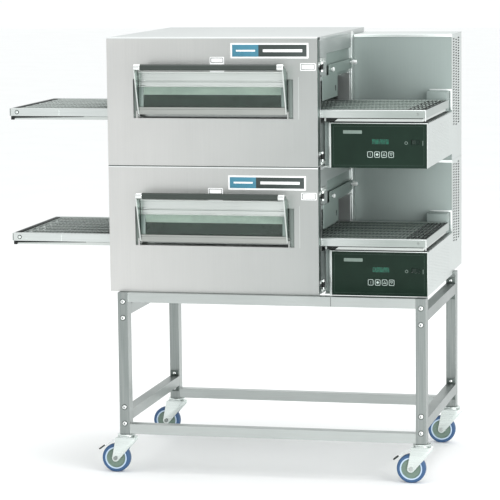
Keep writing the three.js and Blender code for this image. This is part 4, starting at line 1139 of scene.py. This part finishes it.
def build_control_box(deck):
    """Embossed side, and the bright trim round the fascia."""
    x, y, z = deck.box("control_box")
    bm = bmesh.new()
    rows = int((z[1] - z[0] - 40) / EMBOSS_PITCH[1] * 2)
    columns = int((y[1] - y[0] - 60) / EMBOSS_PITCH[0])
    for row in range(rows):
        stud_z = z[0] + EMBOSS_START[1] + row * EMBOSS_PITCH[1] / 2
        for column in range(columns):
            stud_y = y[0] + EMBOSS_START[0] + (column + 0.5 * (row % 2)) * EMBOSS_PITCH[0]
            add_stud(bm, x[1] - 0.05, stud_y, stud_z)
    deck.piece("control_box_embossing", bm, "vent_steel")
    x, (front, _), z = deck.box("control_fascia")
    trim = [
        ((x[0] - 8, x[1]), (front - 0.8, front + 6), (z[1] - 0.4, z[1] + 2.6), 0.4),
        ((x[1] - 1.6, x[1] + 0.6), (front - 0.8, front + 5), z, 0.4),
        ((x[0] - 7.8, x[0] - 0.3), (front + 0.5, front + 3), z, 0.4),
    ]
    deck.blocks("fascia_trim", trim, "vent_steel")
    build_fascia_print(deck, x, front, z)
    for key in KEYS:
        build_key_symbol(deck, key)


DISPLAY = ((945, 1005), (75, 93))
RING_MARK = ((1067.5, 80), (5.6, 4.0))  # centre and radii
LINE_MARK = ((1126, 1127.6), (71, 88))


def build_fascia_print(deck, x, front, z):
    """Green display, a ring, a line, a blank mark and a thin outline round the fascia."""
    bm = bmesh.new()
    add_prism(bm, "y", rounded_outline(*DISPLAY, 1.5), (front + 0.2, front + 0.9))
    deck.piece("display", bm, "display_green", "frame", "fascia_black")
    bm = bmesh.new()
    centre, radii = RING_MARK
    rings = [arc(centre, radius, 0, 345, 23) for radius in radii]
    add_frame_plate(bm, "y", *rings, (front - 0.25, front + 0.1))
    add_block(bm, LINE_MARK[0], (front - 0.25, front + 0.1), LINE_MARK[1])
    mark = rounded_outline((x[0] + 44, x[0] + 112), (z[1] - 36, z[1] - 24), 2)
    add_prism(bm, "y", mark, (front - 0.2, front + 0.1))
    deck.piece("ring_mark", bm, "print_dim", "frame", "fascia_black")
    bm = bmesh.new()
    outer = rounded_outline((x[0] + 9, x[1] - 12), grown(z, -9), 3)
    inner = rounded_outline((x[0] + 10, x[1] - 13), grown(z, -10), 2.4)
    add_frame_plate(bm, "y", outer, inner, (front - 0.2, front + 0.1))
    deck.piece("fascia_lines", bm, "print_faint", "frame", "fascia_black")


KEY_ICONS = {
    "key_1": [(0, -4.6), (0.9, -4.6), (0.9, 4.6), (0, 4.6)],
    "key_2": [(0, -5.6), (5.6, 0), (0, 5.6), (-5.6, 0)],
    "key_3": [(-5.6, -4.2), (5.6, -4.2), (0, 5.4)],
    "key_4": [(-5.6, 4.2), (0, -5.4), (5.6, 4.2)],
}
OUTLINED_ICONS = ("key_3", "key_4")
ICON_HOLLOW = 0.62  # an outlined icon's inner outline, as a share of its outer one


def build_key_symbol(deck, key):
    """The white outline of a key, with its plain symbol."""
    x, (face, _), z = deck.box(key)
    print_y = (face - 0.25, face + 0.1)
    bm = bmesh.new()
    outer, inner = (rounded_outline(grown(x, -a), grown(z, -a), r) for a, r in ((0.6, 5), (2.4, 3.6)))
    add_frame_plate(bm, "y", outer, inner, print_y)
    icon = KEY_ICONS[key]
    at = (middle(x), middle(z))
    shape = [(at[0] + a, at[1] + b) for a, b in icon]
    if key in OUTLINED_ICONS:
        hollow = [(at[0] + ICON_HOLLOW * a, at[1] + ICON_HOLLOW * b - 0.2) for a, b in icon]
        add_frame_plate(bm, "y", shape, hollow, print_y)
    else:
        add_prism(bm, "y", shape, print_y)
    deck.piece(key + "_symbol", bm, "print_white", key, "key_grey")


# ---------------------------------------------------------------- casing

BODY_DEPTH = 910
COVER_SHEET = 0.9


def build_top_cover(deck):
    """Folded lips of the casing's top cover along its sides and back."""
    z = deck.box("casing")[2]
    lip = (z[1] - 15, z[1] - 0.2)
    edge, sheet, back = DOOR_EDGE, COVER_SHEET, (BODY_DEPTH, BODY_DEPTH + COVER_SHEET)
    bm = bmesh.new()
    add_block(bm, (edge, edge + sheet), (46, back[1]), lip, 0.35)
    add_block(bm, (-sheet, 0.0), (42, back[1]), lip, 0.35)
    add_block(bm, (-sheet, edge + sheet), back, lip, 0.35)
    for screw_y in (120, 400, 680, 870):
        add_screw(bm, "x", (edge + sheet, screw_y, z[1] - 8), 3.0, 1.8)
        add_screw(bm, "x", (-sheet, screw_y, z[1] - 8), 3.0, 1.8, -1)
    deck.piece("top_cover_lips", bm, "casing_steel")


BACK_SCREW_INSET = 14


def build_back_screws(deck):
    """Screws round the back panel of the casing."""
    _, y, z = deck.box("casing")
    sides = grown((0, DOOR_EDGE), -BACK_SCREW_INSET)
    rows = grown(z, -BACK_SCREW_INSET)
    places = [(x, row) for row in rows for x in (*sides, 140, 270, 400, 530, 660)]
    places += [(x, middle(z)) for x in sides]
    bm = bmesh.new()
    for screw_x, screw_z in places:
        add_screw(bm, "y", (screw_x, y[1], screw_z), 4.2, 2.4)
    deck.piece("back_screws", bm, "zinc")


for deck_prefix in DECKS:
    deck = Deck(deck_prefix)
    for build in (
        build_window,
        build_glass_backing,
        build_name_plate,
        build_stickers,
        build_door_details,
        build_door_edge,
        build_hinges,
        build_side_wall,
        build_belt,
        build_conveyor_details,
        build_top_cover,
        build_back_screws,
        build_housing,
        build_control_box,
    ):
        build(deck)

# ---------------------------------------------------------------- stand details

BOLT_DROPS = (34, 93, 420, 480)  # of the bolts below the stand's top
LEG_MIDDLE = 19  # of a leg from the frame's end
RAIL_DROPS = (64, 450)
TAB_FACE = 6.2  # of the front of the dark plates of painted shade, before the rear frame


def build_stand_details():
    """Domed bolts on the legs, their washers darkened as painted shadow, dark plates of painted shade
    over the end plates' fronts and the top rail's joint line.
    """
    x, y, z = box_mm("stand_front_frame")
    rear_y = box_mm("stand_rear_frame")[1]
    leg_x = grown(x, -LEG_MIDDLE)
    top = z[1] + 0.4
    places = [(leg, top - drop) for leg in leg_x for drop in BOLT_DROPS]
    bm = bmesh.new()
    for leg, height in places:
        add_turned(bm, "y", flipped(dome(8.6, 0, 6.4, 1.0)), (leg, y[0], height), 32)
        add_turned(bm, "y", dome(6, 0, 4.2, 1.2), (leg, rear_y[1], height), 28)
        add_turned(bm, "y", flipped(dome(6, 0, 4.2, 1.2)), (leg, rear_y[0] - TAB_FACE, height), 28)
    add_piece("stand_bolts", bm, "chrome", "frame")
    bm = bmesh.new()
    # washers, their dark tone painted shadow round each bolt, and a dark dot on each bolt's crown
    for leg, height in places:
        add_turned(bm, "y", flipped(rounded_bar(10.6, 0.05, 1.1, 0.3)), (leg, y[0], height), 32)
        add_turned(bm, "y", flipped(rounded_bar(2.8, 5.0, 6.7, 0.3)), (leg, y[0], height), 6)
    add_piece("stand_bolt_washers", bm, "tab_steel", "frame")
    bm = bmesh.new()
    seam = x[0] + 0.695 * (x[1] - x[0])
    add_block(bm, (seam, seam + 1.5), (y[0] + 2.6, y[0] + 3.4), (top - 34, top - 2), 0.2)
    add_piece("stand_seam", bm, "black_rubber", "frame")
    # painted shade: dark plates over the end plates' fronts above and below each rail
    bm = bmesh.new()
    tab_y = (rear_y[0] - TAB_FACE, rear_y[0] - TAB_FACE + 1)
    for leg in leg_x:
        for drop in RAIL_DROPS:
            for tab in ((-41, -19.6), (19.6, 41)):
                height = (top - drop + tab[0], top - drop + tab[1])
                add_block(bm, (leg - 16.6, leg + 16.6), tab_y, height, 0.3)
    add_piece("stand_tab_shade", bm, "tab_steel", "frame")


build_stand_details()

# ---------------------------------------------------------------- casters

CASTERS = ("front_left", "front_right", "rear_left", "rear_right")
BRAKED = CASTERS[:2]
WHEEL_WIDTH = 32
TYRE_SHOULDER = 7  # radius of the tyre's rounded edges
HUB_BOLTS, HUB_BOLT_CIRCLE = 6, 25
AXLE_DROP = 90  # of the axle below the caster's top
RACE_INSET = 36  # of the swivel's axis from the fork's end
PEDAL_SLOPE = (-60, -44)  # along X and Z, from the fork towards the pad


def wheel_profiles(radius, half):
    """Half profiles of the tyre, the pale ring inside it and the dished core."""
    shoulder = arc((radius - TYRE_SHOULDER, half - 1 - TYRE_SHOULDER), TYRE_SHOULDER, 90, 0, 6)
    tyre = [(radius - 12, half - 1.5), *shoulder]
    ring = [
        (radius - 17, half - 3), (radius - 16, half - 0.6),
        (radius - 13, half - 0.4), (radius - 11.8, half - 1.4),
    ]
    core = [
        (5.4, half), (12, half), (14, half - 1.5), (17, half - 6), (radius - 20, half - 6.5),
        (radius - 16.8, half - 2.8),
    ]
    return tyre, ring, core


def build_wheel(corner):
    """A blue tyre with round shoulders, a pale ring, a dished grey core and bolts on each side."""
    node = f"caster_wheel_{corner}"
    x, y, z = box_mm(node)
    at = (middle(x), middle(y), middle(z))
    half = WHEEL_WIDTH / 2
    parts = (("tyre", "tyre_blue", 72), ("wheel_ring", "ring_blue", 64), ("wheel_core", "core_grey", 64))
    for (part, material, segments), profile in zip(parts, wheel_profiles((z[1] - z[0]) / 2, half)):
        bm = bmesh.new()
        add_turned(bm, "y", profile + flipped(profile[::-1]), at, segments)
        if part == "wheel_core":
            for bolt_x, bolt_z in arc((at[0], at[2]), HUB_BOLT_CIRCLE, 0, 300, HUB_BOLTS - 1):
                for way in (1, -1):
                    place = (bolt_x, at[1] + way * (half - 6.6), bolt_z)
                    add_turned(bm, "y", flipped(dome(3.4, 0, 1.6, 0.6), way), place, 12)
        replaced = [node] if part == "tyre" else ()
        add_piece(f"{part}_{corner}", bm, material, f"wheel_{corner}", replaced)


def build_fork(corner):
    """Pressed fork: two raceway rings with a dark seam, a crown, side plates and the axle bolt."""
    node = f"caster_fork_{corner}"
    x, y, _ = box_mm(node)
    wheel_x, _, wheel_z = box_mm(f"caster_wheel_{corner}")
    axle = (middle(wheel_x), middle(wheel_z))
    middle_y = middle(y)
    swivel = x[1] - RACE_INSET
    top = axle[1] + AXLE_DROP - 0.4
    upper = [(0, 0), (31, 0), (32, -1), (32, -4.2), (30.5, -4.8), (0, -4.8)]
    lower = [(0, -6), (31.5, -6), (32, -7), (30.5, -10), (26, -11.5), (0, -11.5)]
    bm = bmesh.new()
    for profile in (upper, lower):
        add_turned(bm, "z", profile, (swivel, middle_y, top), 48)
    add_turned(bm, "z", rounded_bar(9.5, -20, 54, 1.0), (swivel, middle_y, top), 24)
    crown = top - 11
    inner, outer = WHEEL_WIDTH / 2 + 2, WHEEL_WIDTH / 2 + 5
    crown_y = (middle_y - outer, middle_y + outer)
    add_block(bm, (swivel - 33, swivel + 33), crown_y, (crown - 3, crown), 1.3, 3)
    eye = arc(axle, 13, 180, 315, 12)
    outline = [(swivel - 36, crown), *eye, (swivel + 36, crown - 14), (swivel + 36, crown)]
    for span in ((inner, outer), (-outer, -inner)):
        add_prism(bm, "y", outline, (middle_y + span[0], middle_y + span[1]), 0.8)
    add_piece(f"fork_{corner}", bm, "zinc", f"caster_{corner}", [node])
    bm = bmesh.new()
    axle_at = (axle[0], 0, axle[1])
    add_turned(bm, "y", rounded_bar(5, *grown(crown_y, 1), 0.5), axle_at, 24)
    for way, face in zip((-1, 1), crown_y):
        add_turned(bm, "y", flipped(rounded_bar(8.2, 0, 3.8, 0.8), way), (axle[0], face, axle[1]), 6)
    seam = [(0, -6.1), (29, -6.1), (29, -4.7), (0, -4.7)]
    add_turned(bm, "z", seam, (swivel, middle_y, top), 40)
    add_piece(f"fork_bolt_{corner}", bm, "stand_steel", f"caster_{corner}")


def build_brake(corner):
    """Sloping pedal over the tyre with a dark rubber pad at its tip."""
    x, y, z = box_mm(f"caster_wheel_{corner}")
    way = Vector(PEDAL_SLOPE).normalized()
    lift = Vector((way.y, -way.x))
    start = Vector((middle(x) + 4, middle(z) + 73.5))
    for part, along, height, half_width, bevel, material, slot in (
        ("brake_pedal", (0, 76), (0, 2.4), 12, 0.6, "zinc", "zinc"),
        ("brake_pad", (62, 80), (2.4, 7.5), 13, 1.2, "black_rubber", "grip_black"),
    ):
        near, far = (start + way * distance for distance in along)
        bottom, top = (lift * rise for rise in height)
        bm = bmesh.new()
        add_prism(bm, "y", [near + bottom, far + bottom, far + top, near + top],
                  (middle(y) - half_width, middle(y) + half_width), bevel)
        add_piece(f"{part}_{corner}", bm, material, f"caster_{corner}")


for caster_corner in CASTERS:
    build_wheel(caster_corner)
    build_fork(caster_corner)
for caster_corner in BRAKED:
    build_brake(caster_corner)

# ---------------------------------------------------------------- floor and light

FLOOR_REACH = 40  # metres
FLOOR_TONES = ((0.955, 0.955, 0.955), (0.975, 0.975, 0.975))


def add_floor():
    mesh = bpy.data.meshes.new("floor")
    corners = [(a * FLOOR_REACH, b * FLOOR_REACH, 0) for a, b in ((-1, -1), (1, -1), (1, 1), (-1, 1))]
    mesh.from_pydata(corners, [], [(0, 1, 2, 3)])
    look = Look("floor")
    look.feed("Base Color", look.tinted(look.noise((2, 2, 2), 2.0), *FLOOR_TONES))
    look.shader.inputs["Roughness"].default_value = 0.9
    mesh.materials.append(look.material)
    floor = bpy.data.objects.new("floor", mesh)
    bpy.context.scene.collection.objects.link(floor)


def add_softbox(name, place, target, size, watts):
    data = bpy.data.lights.new(name, "AREA")
    data.shape = "RECTANGLE"
    data.size, data.size_y = size
    data.energy = watts
    lamp = bpy.data.objects.new(name, data)
    lamp.location = place
    lamp.rotation_mode = "QUATERNION"
    lamp.rotation_quaternion = (Vector(target) - Vector(place)).to_track_quat("-Z", "Y")
    bpy.context.scene.collection.objects.link(lamp)


def add_world():
    world = bpy.data.worlds.new("studio")
    world.use_nodes = True
    background = world.node_tree.nodes["Background"]
    background.inputs["Color"].default_value = (0.98, 1.0, 1.0, 1)
    background.inputs["Strength"].default_value = 1.03
    bpy.context.scene.world = world


add_floor()
add_world()
add_softbox("key", (5.0, -3.0, 3.6), (0, 0, 0.9), (3.0, 3.0), 90)
add_softbox("top", (0, 0.5, 5.0), (0, 0, 0), (4.0, 4.0), 90)
add_softbox("fill", (4.2, -6.0, 1.0), (0.5, 0.2, 1.1), (4.0, 2.0), 150)
